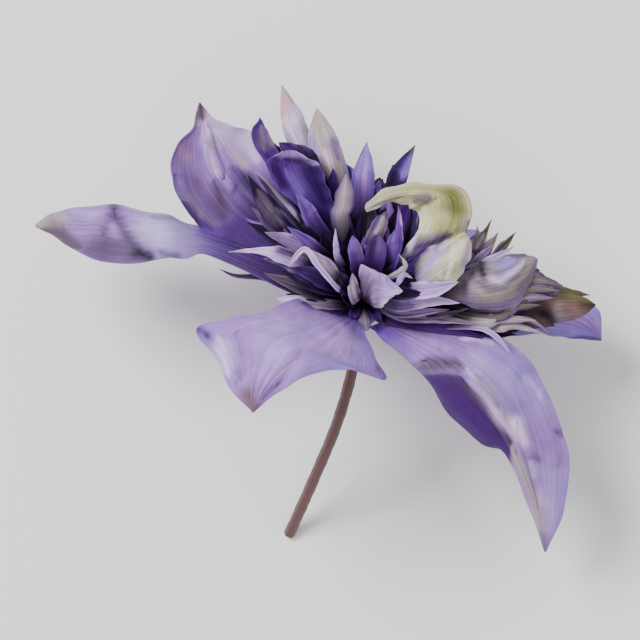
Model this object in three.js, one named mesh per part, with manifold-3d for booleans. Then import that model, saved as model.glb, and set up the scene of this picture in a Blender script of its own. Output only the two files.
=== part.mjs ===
// A double clematis flower, picked with a short bare stalk and laid on its side.
//
// Millimetres, +Z up. The flower lies as it would on a table: the cut end of the stalk and the three
// outer petals underneath touch the surface at z = 0, and the bloom leans up from it a little.
// Seen from above, +X is to the right, +Y runs from the stalk towards the bloom, and the eight broad
// outer petals spread from a small receptacle round a dense head of narrow pointed inner petals.
// All places below are measured from the middle of the receptacle until the end, where the whole
// flower is moved so that the origin is under the middle of it.

import * as THREE from "three";
import { mergeVertices } from "three/addons/utils/BufferGeometryUtils.js";
import Module from "manifold-3d";

const wasm = await Module();
wasm.setup();

// ---- Driving dimensions -------------------------------------------------------------------------

const RECEPTACLE_HEIGHT = 38; // middle of the receptacle above the surface
const RECEPTACLE_RADIUS = 4.2; // the swollen top of the stalk that the petals grow on
const RECEPTACLE_HALF = 2.6; // half its thickness along the flower's axis
const AXIS_HEADING = 80; // degrees from +X to the flower's axis, seen from above
const AXIS_LIFT = 22; // degrees that the axis rises from the surface
const STALK_RADIUS = 1.2;
const OUTER_THICK = 0.9; // broad outer petals
const INNER_THICK = 0.75; // narrow inner petals
const CORE_RADIUS = 4.4; // dome that the inner petals are rooted in
const CORE_OFFSET = 7.3; // dome's middle above the receptacle's, along the axis
const ROOT_DEPTH = 2.2; // an inner petal's root out from the middle of the dome
const ROOT_DROP = 3.8; // how much lower the root is of a petal that is thrown right back
const RING_BULGE = 4; // how far a petal of the rings bows out from a straight line
const SEAT_GAP = 0.3; // clearance between one piece and the next

// ---- Directions ---------------------------------------------------------------------------------

const vec = (x, y, z) => new THREE.Vector3(x, y, z);
const places = (...list) => list.map(([x, y, z]) => vec(x, y, z));
const UP = vec(0, 0, 1);
const heading = THREE.MathUtils.degToRad(AXIS_HEADING);
const lift = THREE.MathUtils.degToRad(AXIS_LIFT);
// AXIS points out of the bloom, LEFT and NEAR span the plane that the outer petals spread in.
const AXIS = vec(
  Math.cos(heading) * Math.cos(lift),
  Math.sin(heading) * Math.cos(lift),
  Math.sin(lift),
);
const LEFT = vec(-Math.sin(heading), Math.cos(heading), 0);
const NEAR = new THREE.Vector3().crossVectors(AXIS, LEFT);

// The direction at an angle round the axis: 0 is LEFT, 90 is NEAR, which looks up from the surface.
function around(degrees) {
  const a = THREE.MathUtils.degToRad(degrees);
  return LEFT.clone().multiplyScalar(Math.cos(a)).addScaledVector(NEAR, Math.sin(a));
}

// The part of v that stands away from the axis, at length 1.
function awayFromAxis(v) {
  return v.clone().addScaledVector(AXIS, -v.dot(AXIS)).normalize();
}

// ---- A petal ------------------------------------------------------------------------------------
// A petal's middle surface is a function of s, 0 at the claw to 1 at the tip, and t, -1 to 1 across.

const smooth = (a, b, x) => THREE.MathUtils.smoothstep(x, a, b);
const curveThrough = (points) => new THREE.CatmullRomCurve3(points, false, "catmullrom", 0.5);

// Margin ripples, which grow from the midrib to the edge.
function ripple({ wave = 0, waves = 3, phase = 0 }, s, t) {
  const shift = t > 0 ? 1.3 : 0;
  return wave * Math.sin(waves * Math.PI * s + phase + shift) * t * t * smooth(0.1, 0.35, s);
}

// A broad petal, given by its left margin, midrib and right margin from claw to tip.
function broadSurface(petal) {
  const [left, middle, right] = [petal.left, petal.middle, petal.right].map(curveThrough);
  return (s, t) => {
    const [l, m, r] = [left.getPoint(s), middle.getPoint(s), right.getPoint(s)];
    const face = new THREE.Vector3().crossVectors(middle.getTangent(s), r.clone().sub(l)).normalize();
    return m
      .multiplyScalar(1 - t * t)
      .addScaledVector(l, (t * t - t) / 2)
      .addScaledVector(r, (t * t + t) / 2)
      .addScaledVector(face, ripple(petal, s, t));
  };
}

// Half width along a narrow petal, as a share of its widest: a claw, a swell, and a pointed end.
function taper(s, claw, widest, point) {
  const swell = s < widest ? s / widest : (1 - s) / (1 - widest);
  const body = s < widest ? Math.sin((swell * Math.PI) / 2) ** 0.9 : 1 - (1 - swell) ** point;
  return Math.max(claw * (1 - smooth(0, widest, s)) + body * smooth(0, 0.12, s), 0.05);
}

// A narrow petal along a path. side is the way its width runs, and cup lifts both its margins.
function narrowSurface(petal) {
  const { path, side, halfWidth, claw = 0.45, widest = 0.5, point = 1.6, cup = 0.25 } = petal;
  const curve = curveThrough(path);
  return (s, t) => {
    const along = curve.getTangent(s);
    const across = side.clone().addScaledVector(along, -side.dot(along)).normalize();
    const face = new THREE.Vector3().crossVectors(along, across);
    const half = halfWidth * taper(s, claw, widest, point);
    return curve
      .getPoint(s)
      .addScaledVector(across, half * t)
      .addScaledVector(face, half * cup * t * t + ripple(petal, s, t));
  };
}

const surfaceOf = (petal) => (petal.middle ? broadSurface(petal) : narrowSurface(petal));

// A closed blade of even thickness round that surface, as a solid. Nothing goes below the surface
// that the flower lies on: what would is pressed flat on it.
function blade(petal, thick, rows, columns) {
  const floor = -RECEPTACLE_HEIGHT;
  const STEP = 0.01;
  const middle = surfaceOf(petal);
  const pressed = (s, t) => {
    const p = middle(s, t);
    p.z = Math.max(p.z, floor + thick / 2);
    return p;
  };
  const top = [];
  const under = [];
  for (let i = 0; i <= rows; i++) {
    for (let j = 0; j <= columns; j++) {
      const s = i / rows;
      const t = (2 * j) / columns - 1;
      const alongStep = pressed(Math.min(s + STEP, 1), t).sub(pressed(Math.max(s - STEP, 0), t));
      const acrossStep = pressed(s, Math.min(t + STEP, 1)).sub(pressed(s, Math.max(t - STEP, -1)));
      const normal = alongStep.cross(acrossStep).normalize();
      const p = pressed(s, t);
      top.push(p.clone().addScaledVector(normal, thick / 2));
      under.push(p.clone().addScaledVector(normal, -thick / 2));
    }
  }
  for (const p of [...top, ...under]) p.z = Math.max(p.z, floor);
  const at = (i, j) => i * (columns + 1) + j;
  const below = top.length;
  const faces = [];
  const quad = (a, b, c, d) => faces.push(a, b, c, a, c, d);
  for (let i = 0; i < rows; i++) {
    for (let j = 0; j < columns; j++) {
      const [a, b, c, d] = [at(i, j), at(i + 1, j), at(i + 1, j + 1), at(i, j + 1)];
      faces.push(a, b, c, a, c, d);
      faces.push(below + a, below + c, below + b, below + a, below + d, below + c);
    }
    quad(at(i + 1, 0), at(i, 0), below + at(i, 0), below + at(i + 1, 0));
    quad(at(i, columns), at(i + 1, columns), below + at(i + 1, columns), below + at(i, columns));
  }
  for (let j = 0; j < columns; j++) {
    quad(at(0, j), at(0, j + 1), below + at(0, j + 1), below + at(0, j));
    quad(at(rows, j + 1), at(rows, j), below + at(rows, j), below + at(rows, j + 1));
  }
  return solid([...top, ...under], faces);
}

// ---- Solids -------------------------------------------------------------------------------------

function solid(points, faces) {
  const made = new wasm.Manifold(
    new wasm.Mesh({
      numProp: 3,
      vertProperties: new Float32Array(points.flatMap((p) => [p.x, p.y, p.z])),
      triVerts: new Uint32Array(faces),
    }),
  );
  if (made.volume() < 0) throw new Error("a solid is inside out");
  return made;
}

// A three.js geometry as a solid, placed by a matrix.
function solidOf(geometry, matrix = new THREE.Matrix4()) {
  const bare = geometry.clone().applyMatrix4(matrix);
  bare.deleteAttribute("normal");
  bare.deleteAttribute("uv");
  const merged = mergeVertices(bare, 1e-4);
  return new wasm.Manifold(
    new wasm.Mesh({
      numProp: 3,
      vertProperties: merged.attributes.position.array,
      triVerts: new Uint32Array(merged.index.array),
    }),
  );
}

const fuse = (solids) => solids.reduce((all, one) => all.add(one));

// The largest piece of a solid: a scrap that a cut leaves loose is dropped.
function largest(made) {
  return made.decompose().sort((a, b) => b.volume() - a.volume())[0];
}

// Turns +Z to the flower's axis, then moves to a place along it.
function onAxis(distance) {
  const turned = new THREE.Quaternion().setFromUnitVectors(UP, AXIS);
  return new THREE.Matrix4()
    .makeRotationFromQuaternion(turned)
    .setPosition(AXIS.clone().multiplyScalar(distance));
}

// ---- Stalk with the receptacle ------------------------------------------------------------------

// The swollen top of the stalk, swollen all round by grow. A lathe turns about +Y, so it is stood up
// to +Z first.
function receptacle(grow = 0) {
  const swell = RECEPTACLE_HALF + grow;
  const radius = RECEPTACLE_RADIUS + grow;
  const profile = [
    [0, -swell - 2.2],
    [STALK_RADIUS * 1.2 + grow, -swell - 2],
    [radius * 0.85, -swell + 0.6],
    [radius, 0],
    [radius * 0.9, swell - 0.4],
    [radius * 0.6, swell],
    [0, swell],
  ].map(([r, z]) => new THREE.Vector2(r, z));
  return solidOf(new THREE.LatheGeometry(profile, 16).rotateX(Math.PI / 2), onAxis(0));
}

function stalk() {
  const end = STALK_RADIUS * 0.55 - RECEPTACLE_HEIGHT;
  const path = new THREE.CatmullRomCurve3([
    vec(0, 0, 0),
    vec(-1.6, -12, -5.5),
    vec(-5.2, -25, -14),
    vec(-10.5, -38, -25),
    vec(-16, -50.5, end),
  ]);
  const section = new THREE.Shape().absarc(0, 0, STALK_RADIUS, 0, 2 * Math.PI);
  const tube = new THREE.ExtrudeGeometry(section, {
    steps: 22,
    curveSegments: 5,
    bevelEnabled: false,
    extrudePath: path,
  });
  const below = new THREE.BoxGeometry(200, 200, 10).translate(0, 0, -RECEPTACLE_HEIGHT - 5);
  return solidOf(tube).subtract(solidOf(below)).add(receptacle());
}

// ---- Outer petals -------------------------------------------------------------------------------

// An outer petal that is given by its midrib and half width alone, facing the bloom's axis.
function evenPetal(list, halfWidth, phase) {
  const path = places(...list);
  const side = new THREE.Vector3().crossVectors(AXIS, awayFromAxis(path.at(-1)));
  return { path, side, halfWidth, claw: 0.25, point: 2, cup: 0.1, wave: 0.6, phase };
}

// Long, out to the left, seen nearly edge on.
const LEFT_LONG = {
  left: places(
    [-5, 2.8, -2], [-18, 12.5, -10], [-33, 17.6, -13], [-38.6, 18.9, -13], [-46, 21.4, -12.5],
    [-54.8, 23.4, -11], [-62.8, 22.6, -8], [-68.6, 21.7, -5], [-72.2, 19.1, -3],
  ),
  middle: places(
    [-5.2, 1.4, 0], [-19, 9, 0], [-33, 14.8, 0], [-38.6, 15.6, 1], [-46, 16.2, 1.5], [-54.8, 16.8, 1],
    [-62.5, 17.8, 0], [-68, 18.9, -1.5], [-72.4, 18.8, -2.7],
  ),
  right: places(
    [-5, 0, 2], [-18, 5, 9], [-32.5, 11.6, 12], [-38.4, 11.7, 12.5], [-46, 11.4, 13], [-54, 10, 13],
    [-61.5, 12, 10], [-67, 15.9, 5], [-72, 18.4, -2.3],
  ),
};

// Rising behind the head on the left, hollowed along its midrib.
const UPPER_LEFT = {
  left: places(
    [-5, 2.8, -2.4], [-17, 9.6, -6], [-28, 14.6, -8], [-35.6, 18.8, -9], [-40.6, 25.8, -10],
    [-42.1, 31, -10.5], [-40.9, 36.3, -11], [-37.4, 41.5, -11.5], [-36.1, 46.2, -12],
  ),
  middle: places(
    [-3.8, 3.8, -3], [-13, 11.5, -10], [-20, 18, -14], [-26, 24, -16], [-30, 29.5, -17],
    [-32.5, 34, -17], [-34, 38.5, -16], [-35.3, 42.5, -14.5], [-36, 46.4, -12.3],
  ),
  right: places(
    [-2.6, 4.6, -3.6], [-8, 14, -12], [-13, 23, -17], [-17.5, 30.5, -18], [-21, 36, -18],
    [-24.5, 39.8, -17], [-28.5, 41.3, -16], [-32.8, 43, -14.5], [-35.9, 46.5, -12.6],
  ),
};

// Towards the eye, square-shouldered and drooping to its tip.
const NEAR_BROAD = {
  left: places(
    [-3.9, 1.8, 3.9], [-12.8, 2.6, 12], [-21, 0, 20], [-29.5, -1.9, 27], [-35.4, -4.2, 30],
    [-31.7, -10.5, 34], [-28.6, -17.2, 37], [-23.9, -21.9, 38.2],
  ),
  middle: places(
    [-0.6, -0.4, 5.2], [-4.8, -2.8, 13], [-9, -5.5, 20.5], [-13.5, -7.5, 27], [-16.5, -9, 31],
    [-19.5, -12.5, 34.5], [-22, -17, 37], [-23.8, -22.2, 38.4],
  ),
  right: places(
    [1.6, -1.6, 4.9], [0.8, -5, 10], [3.1, -9.8, 17], [5.2, -15.4, 21], [-2.5, -13.1, 27],
    [-10, -13.8, 31], [-17.5, -17.4, 35], [-23.6, -22.2, 38.2],
  ),
};

// Out to the right and then hanging, its left side folded under.
const RIGHT_HANGING = {
  left: places(
    [1.7, -3.7, 3], [5.4, -6.4, 5.4], [13, -13.6, 5], [19.5, -22.6, 2], [27, -29.4, -1],
    [33.6, -32.6, -3], [37.5, -41.5, -9], [41, -53.4, -18],
  ),
  middle: places(
    [4.2, -2.8, 3.6], [10, -6.2, 8.5], [19, -12, 10.5], [25.5, -18, 9.5], [30.4, -24, 6],
    [34.3, -31.5, 1], [38.3, -42, -7], [41.3, -54, -18],
  ),
  right: places(
    [4.9, -1.6, 3.2], [15.5, -2.4, 7], [28, -4.6, 7.5], [36.8, -11, 4], [42.3, -20.5, 0],
    [46.2, -32, -5], [45.2, -45, -11], [41.6, -53.8, -18],
  ),
};

// To the right, half hidden by the head.
const RIGHT_REAR = {
  left: places(
    [4.7, 0.8, -2.6], [18, 5, -12], [32, 7, -17], [44, 5.5, -19], [53, 0.9, -18], [53.9, -6.3, -17],
  ),
  middle: places(
    [5, -0.5, -1.3], [18, -1, -4], [32, -0.5, -7], [44, -1.5, -11], [50.4, -3.1, -14],
    [53.9, -6.6, -16.8],
  ),
  right: places(
    [4.9, -1.8, 0.2], [18, -4.6, 2], [32, -5.4, 3], [42, -5.6, -2], [48, -6.3, -9],
    [53.8, -6.8, -16.6],
  ),
};

const OUTER = [
  LEFT_LONG,
  UPPER_LEFT,
  NEAR_BROAD,
  RIGHT_HANGING,
  RIGHT_REAR,
  // underneath, to the right, in the middle and to the left
  evenPetal([[3.4, 1.2, -4], [11, 4, -17], [18, 8, -30], [24, 14, -39], [31, 20, -39]], 10, 0),
  evenPetal([[0, 2.4, -5], [-0.2, 7, -19], [-1, 13, -32], [-3, 22, -39], [-5, 32, -39]], 9, 1),
  evenPetal([[-3.4, 2, -4], [-10, 6, -17], [-17, 12, -30], [-24, 20, -39], [-32, 29, -39]], 10, 2),
];

// ---- Inner petals -------------------------------------------------------------------------------

const CORE = AXIS.clone().multiplyScalar(CORE_OFFSET);

// A narrow petal through the points from its middle to its tip. Its root is in the dome, lower down
// the further the petal is thrown back from the axis.
function innerPetal(points, halfWidth, side, more = {}) {
  const outward = awayFromAxis(points[0]);
  const lean = THREE.MathUtils.radToDeg(points[0].clone().sub(CORE).angleTo(AXIS));
  const thrownBack = smooth(60, 110, lean);
  const root = AXIS.clone()
    .multiplyScalar(CORE_OFFSET - ROOT_DROP * thrownBack)
    .addScaledVector(outward, ROOT_DEPTH * (1 - 0.5 * thrownBack));
  return { path: [root, ...points], side, halfWidth, ...more };
}

// A petal that shows from above. turn is 0 where its face looks straight up, 90 where its edge does,
// and 180 where its back does.
function shownPetal(list, halfWidth, turn, more) {
  const points = places(...list);
  const run = points.at(-1).clone().sub(CORE).normalize();
  const level = new THREE.Vector3().crossVectors(UP, run).normalize();
  const side = level.applyAxisAngle(run, THREE.MathUtils.degToRad(turn));
  return innerPetal(points, halfWidth, side, more);
}

const SHOWN = [
  // the crown of the head, from left to right
  shownPetal([[-20.4, 35, -3], [-22.3, 43, -6]], 2.6, 10),
  shownPetal([[-13.6, 38, -5], [-15.6, 44, -8], [-17.6, 50.2, -9]], 2.7, 183),
  shownPetal([[-12, 31, -2], [-14.6, 37.2, -4]], 3.2, 0),
  shownPetal([[-6.6, 31, 0], [-8.6, 38, -2], [-10, 45, -5]], 3.7, 178),
  shownPetal([[-6, 24, 1], [-6.2, 31.5, 1]], 2.2, 10),
  shownPetal([[-2.6, 27, -1], [-3.8, 33, -4]], 2.6, 0),
  shownPetal([[0.4, 27, 3], [0.8, 31.5, 2], [1.3, 37.4, -2]], 2.5, 0),
  shownPetal([[3.4, 24.6, 2], [4.2, 29.6, -2]], 2.4, 0),
  shownPetal([[6, 24, 0], [7.2, 29.2, -3]], 2.6, 10),
  shownPetal([[7.6, 28, -1], [9, 31.4, -3], [12.1, 36.8, -8]], 2.2, 12),
  // between the crown and the left fan
  shownPetal([[-13.6, 25, 6], [-17.4, 29, 6], [-21.6, 34, 2]], 2.3, 15),
  shownPetal([[-10, 18.6, 12], [-12, 22.4, 12.6], [-15.1, 26.2, 12.6]], 1.9, 20),
  shownPetal([[-12.4, 18, 13], [-16, 22.4, 12.4], [-20, 26.8, 10], [-23.9, 31.2, 6]], 1.5, 25),
  shownPetal([[-14, 17.8, 10], [-19, 22.2, 8], [-24.3, 28.6, 4]], 2.2, 170),
  shownPetal([[-15, 16.4, 9], [-19, 18.2, 8], [-24.2, 22.8, 4]], 2.4, 160),
  // the left fan
  shownPetal([[-10.4, 11.6, 16.4], [-15.6, 15, 16.6], [-21.2, 17.2, 14]], 2.2, 165),
  shownPetal([[-9, 12.4, 17], [-12.4, 15.4, 18], [-16.2, 18.4, 17]], 1.6, 10),
  shownPetal(
    [[-11.4, 9.4, 16], [-16.4, 11.8, 17], [-22, 13.1, 15.6], [-29.2, 12.9, 12]],
    1.9, 0, { widest: 0.62, point: 0.95 },
  ),
  shownPetal([[-6, 5.8, 17], [-11, 7.9, 20], [-15.6, 9.4, 19]], 2, 0),
  shownPetal([[-8, 3.6, 13], [-15, 5.8, 14.4], [-21.4, 8.2, 11]], 1.7, 10),
  // in the cleft between the two sides
  shownPetal([[-7, 13, 10], [-11.5, 20.5, 11]], 2.8, 10),
  shownPetal([[-2.4, 12, 12], [-2.2, 19.5, 15]], 2.4, 10),
  shownPetal(
    [[-4.4, 19, 15.6], [-3.8, 24, 16], [-3.3, 30.2, 11]],
    2.2, 180, { widest: 0.66, point: 2.6 },
  ),
  // the middle
  shownPetal([[2.2, 14, 19], [3.8, 18.4, 20], [5.2, 21.6, 17.6]], 1.8, 175, { point: 3 }),
  shownPetal([[4.6, 12, 14], [6.8, 17.4, 15.6], [8, 22.8, 13]], 2.6, 0),
  shownPetal([[5.4, 9.4, 17], [7, 13, 20], [7.4, 17.4, 19]], 2.6, -12, { widest: 0.65, point: 3.4 }),
  shownPetal(
    [[-0.6, 8.6, 17.4], [-1.2, 12.2, 20.4], [-1.7, 16, 19.4]],
    2.2, 12, { widest: 0.65, point: 3 },
  ),
  shownPetal([[2.2, 9, 18.6], [3.2, 12.6, 21.6], [3.6, 17, 20.6]], 2.9, 0, { widest: 0.65, point: 3.4 }),
  shownPetal([[6.4, 8, 18], [10.4, 9.8, 18], [13, 12.4, 17]], 1.7, 0),
  shownPetal([[-0.9, 2.2, 17], [-1.7, 5, 20], [-1.9, 8.2, 19]], 1.35, 170, { point: 2.6 }),
  shownPetal([[0.8, -1.8, 9], [1.3, -4.6, 8.6]], 1.5, 180, { point: 3 }),
  // under the pale cup and out to the right
  shownPetal([[9.6, 4.2, 17], [16.4, 4.8, 21], [21.4, 6.2, 21]], 2, 0),
  shownPetal([[8, 1.4, 13], [14.6, 2.2, 17.6], [21.6, 1.6, 18]], 1.7, 5),
  shownPetal([[9, -1.2, 9.6], [17, -1.8, 12], [26, -3.2, 12.4]], 1.2, 5),
  shownPetal([[6, -1.6, 7], [17, -3.8, 9.6], [29, -6, 9]], 1.3, 5),
  // the small upper ones on the right
  shownPetal([[19, 12.6, 7], [22.4, 17, 6], [23.6, 21.4, 3]], 1.1, 20),
  shownPetal([[21, 10.4, 7], [25, 15, 6], [25.8, 18.6, 4]], 1.6, 10),
  shownPetal([[23, 11, 8], [26.4, 15.6, 7.6], [28.9, 20.1, 4]], 1.1, 10),
  shownPetal([[24, 9.4, 8], [27.6, 13.4, 7], [30.4, 17.2, 3]], 1.6, 0),
  shownPetal([[26, 10, 8], [31, 13.8, 6.6], [34.3, 17.3, 3]], 1.2, 0),
  shownPetal([[23, 7.4, 9], [28.6, 10.8, 10.6], [33, 13.8, 7]], 1.4, 0),
  // the right fan
  shownPetal([[29, 7.6, 8], [35, 9.2, 8], [39.6, 8.8, 5]], 2.2, 180, { point: 2.4 }),
  shownPetal([[30, 5.6, 9], [36.4, 7.8, 9], [42.2, 6.2, 6]], 1.9, 178, { point: 2.4 }),
  shownPetal([[32, 3.6, 9], [38.6, 6, 8.6], [45.4, 4.4, 4]], 1.5, 180, { point: 2.2 }),
  shownPetal([[31, 1.4, 10], [37.4, 4.2, 10], [44.4, 3, 6]], 1.4, 180, { point: 2.2 }),
  shownPetal([[29, -0.2, 11], [36, 2.2, 10.6], [43, 1.2, 7]], 1.3, 180, { point: 2.2 }),
  shownPetal([[24, -2.4, 10.6], [31, -1.8, 11], [38.6, -2.2, 9]], 1.4, 175),
  shownPetal([[28, -2.4, 5], [36, -2.4, 3], [43, -3.4, 0]], 2.4, 180),
  shownPetal([[38, 3.6, 3], [44.6, 4, -1], [51, 3.4, -5]], 1.5, 180),
  shownPetal([[36, -0.6, 4], [44.4, 0.4, 0.6], [52.2, 1.2, -4]], 3.2, 180, { widest: 0.6, point: 3.4 }),
];

// The large dished petal at the upper left of the head.
const SPOON = {
  left: places(
    [-3.5, 8, 5], [-10, 19.3, 9.6], [-15.6, 24.6, 12], [-19.4, 29.2, 13], [-20.2, 33, 12],
    [-17.6, 35, 10],
  ),
  middle: places(
    [-2.5, 8.5, 4], [-7.6, 19.6, 7], [-11.4, 24.8, 8], [-14.4, 29.2, 8], [-15.8, 32.6, 8.4],
    [-16, 35.3, 10],
  ),
  right: places(
    [-1.5, 9, 5], [-5.8, 19.6, 9], [-6.4, 24.6, 10.6], [-7.8, 29, 11.6], [-10, 32.6, 11.4],
    [-14.4, 35.2, 10],
  ),
};

// The pale one that still curls in over the middle.
const PALE_CUP = {
  left: places(
    [4, 7, 8], [7.6, 10, 14], [10.2, 13.6, 17], [12.4, 18.6, 18.6], [11.8, 22.8, 17], [9.6, 24, 17.4],
    [5.6, 23.2, 18.2], [1.5, 21.5, 19],
  ),
  middle: places(
    [5, 6, 8], [10, 9.6, 15], [14.6, 14.6, 19.4], [17.6, 19.8, 20], [17.6, 25, 17], [12, 26, 18.4],
    [6.6, 25, 19.4], [1, 22.6, 19.4],
  ),
  right: places(
    [6.5, 5, 8], [14, 8.6, 14], [20.6, 13.6, 17], [23.4, 18.6, 16.6], [22.9, 25.6, 13],
    [14.6, 28.4, 14.6], [7, 26.8, 17], [1.4, 24.2, 19],
  ),
};

// Below it, folded the other way.
const PALE_LOBE = {
  left: places(
    [5, 5.4, 9], [9.6, 7.6, 16], [12.4, 11.6, 19], [16.6, 14.4, 20.6], [22.6, 17.2, 20],
  ),
  middle: places(
    [5.5, 4.6, 9], [12, 5.8, 18], [16.4, 8.8, 22], [20.6, 12, 22.4], [23.6, 16, 20.2],
  ),
  right: places(
    [6, 4, 9], [14, 3.8, 17], [19.6, 5.6, 20.4], [23.2, 9.6, 20.6], [24.2, 14.6, 20],
  ),
};

// The small one in front, folded to a corner.
const FRONT_FOLD = {
  left: places(
    [0.4, 2.4, 14], [-0.4, 6, 21], [-0.2, 10, 23], [2.6, 8.7, 24], [6.4, 7, 24.8], [8.9, 4.3, 25.4],
  ),
  middle: places(
    [1, 1.9, 14], [1.6, 4.5, 22.6], [2.8, 6.4, 25], [5, 5.4, 26], [7.2, 4.8, 26], [9, 4.2, 25.4],
  ),
  right: places(
    [1.8, 1.4, 14], [2.4, 1, 21], [4.2, 0.4, 24], [5.6, 1.8, 25], [7.4, 3.2, 25.6], [8.9, 4, 25.4],
  ),
};

// The large one curled in on the right.
const STRIPED_OVAL = {
  left: places(
    [14, 5.6, 8], [20.6, 8, 12], [25.6, 10.6, 13.4], [31.5, 12, 12], [36, 12.6, 9], [38.7, 11.6, 6],
  ),
  middle: places(
    [14, 4.5, 9], [20.6, 4.6, 15], [26.4, 5.4, 18], [33, 7, 16], [37, 9.3, 11], [38.9, 11.4, 6.2],
  ),
  right: places(
    [14, 3.4, 8], [20.8, 2.2, 13], [26.6, 0, 15], [33.4, 1, 13], [37.4, 5.5, 9], [39.1, 11.1, 6],
  ),
};

const BROAD_INNER = [SPOON, PALE_CUP, PALE_LOBE, FRONT_FOLD, STRIPED_OVAL];

// Those behind and underneath, in rings round all but the top of the head: how many, degrees from
// the axis, length and half width.
const RINGS = [
  { count: 8, angle: 80, length: 30, halfWidth: 4.2 },
  { count: 7, angle: 62, length: 28, halfWidth: 4.2 },
  { count: 6, angle: 42, length: 25, halfWidth: 4 },
  { count: 4, angle: 22, length: 21, halfWidth: 3.6 },
];

// A repeatable draw between 0 and 1.
let seed = 20;
function draw() {
  seed = (seed * 16807) % 2147483647;
  return seed / 2147483647;
}

function ringPetals() {
  const made = [];
  RINGS.forEach(({ count, angle, length, halfWidth }, ring) => {
    for (let i = 0; i < count; i++) {
      const turn = -172 + (164 * (i + 0.5 * (ring % 2))) / (count - 0.5) + 8 * (draw() - 0.5);
      const tilt = THREE.MathUtils.degToRad(angle + 10 * (draw() - 0.5));
      const reach = length * (0.9 + 0.2 * draw());
      const outward = around(turn);
      const tip = CORE.clone()
        .addScaledVector(AXIS, reach * Math.cos(tilt))
        .addScaledVector(outward, reach * Math.sin(tilt));
      // What would press into the petals underneath is lifted clear of them.
      const lowest = -RECEPTACLE_HEIGHT + 9;
      if (tip.z < lowest) tip.z = lowest + 0.2 * (tip.z - lowest);
      const halfWay = CORE.clone().add(tip).divideScalar(2).addScaledVector(outward, RING_BULGE);
      const side = new THREE.Vector3().crossVectors(AXIS, awayFromAxis(halfWay));
      made.push(innerPetal([halfWay, tip], halfWidth, side));
    }
  });
  return made;
}

// A petal as a solid. grow swells it on both faces, and a narrow one at its margins too.
function asSolid(petal, thick, rows, columns, grow = 0) {
  const grown = petal.middle ? petal : { ...petal, halfWidth: petal.halfWidth + grow };
  return blade(grown, thick + 2 * grow, rows, columns);
}

// ---- Assembly -----------------------------------------------------------------------------------

const flower = new THREE.Group();

function addPiece(name, made, colour, roughness) {
  const { vertProperties, triVerts } = made.getMesh();
  const geometry = new THREE.BufferGeometry();
  geometry.setAttribute("position", new THREE.BufferAttribute(vertProperties, 3));
  geometry.setIndex(new THREE.BufferAttribute(triVerts, 1));
  geometry.computeVertexNormals();
  const material = new THREE.MeshStandardMaterial({ color: colour, roughness, metalness: 0 });
  const mesh = new THREE.Mesh(geometry, material);
  mesh.name = name;
  flower.add(mesh);
}

addPiece("stalk", stalk(), 0x7a5a52, 0.6);

// Each outer petal is cut clear of those before it, where their claws crowd round the receptacle.
const outerGrown = OUTER.map((p) => asSolid(p, OUTER_THICK, 12, 6, SEAT_GAP));
OUTER.forEach((petal, i) => {
  const whole = asSolid(petal, OUTER_THICK, 12, 6);
  const made = i ? largest(whole.subtract(fuse(outerGrown.slice(0, i)))) : whole;
  addPiece(`outer_petal_${i + 1}`, made, 0xa796c8, 0.55);
});

const dome = solidOf(new THREE.SphereGeometry(CORE_RADIUS, 12, 8), onAxis(CORE_OFFSET));
const innerBlades = [
  ...SHOWN.map((p) => asSolid(p, INNER_THICK, 4, 2)),
  ...ringPetals().map((p) => asSolid(p, INNER_THICK, 3, 2)),
  ...BROAD_INNER.map((p) => asSolid(p, INNER_THICK, 8, 4)),
];
const clearOf = fuse([receptacle(SEAT_GAP), ...outerGrown]);
const innerPetals = largest(fuse([dome, ...innerBlades]).subtract(clearOf));
addPiece("inner_petals", innerPetals, 0x5c4592, 0.55);

const box = new THREE.Box3().setFromObject(flower);
const middle = box.getCenter(vec(0, 0, 0));
flower.position.set(-middle.x, -middle.y, -box.min.z);

export default flower;
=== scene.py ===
# A double clematis flower, picked with a short bare stalk and laid on its side.
#
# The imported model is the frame. The outer petals, the receptacle and the stalk follow their solids,
# finer, with the petals thinner and ruffled. The head of inner petals holds more of them than its
# solid does, in the same room. Shapes are worked out in millimetres from the middle of the
# receptacle, with +X to the right, +Y from the stalk towards the bloom and +Z up from the surface
# that the flower lies on, and are put in the frame in metres.

import math

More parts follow.
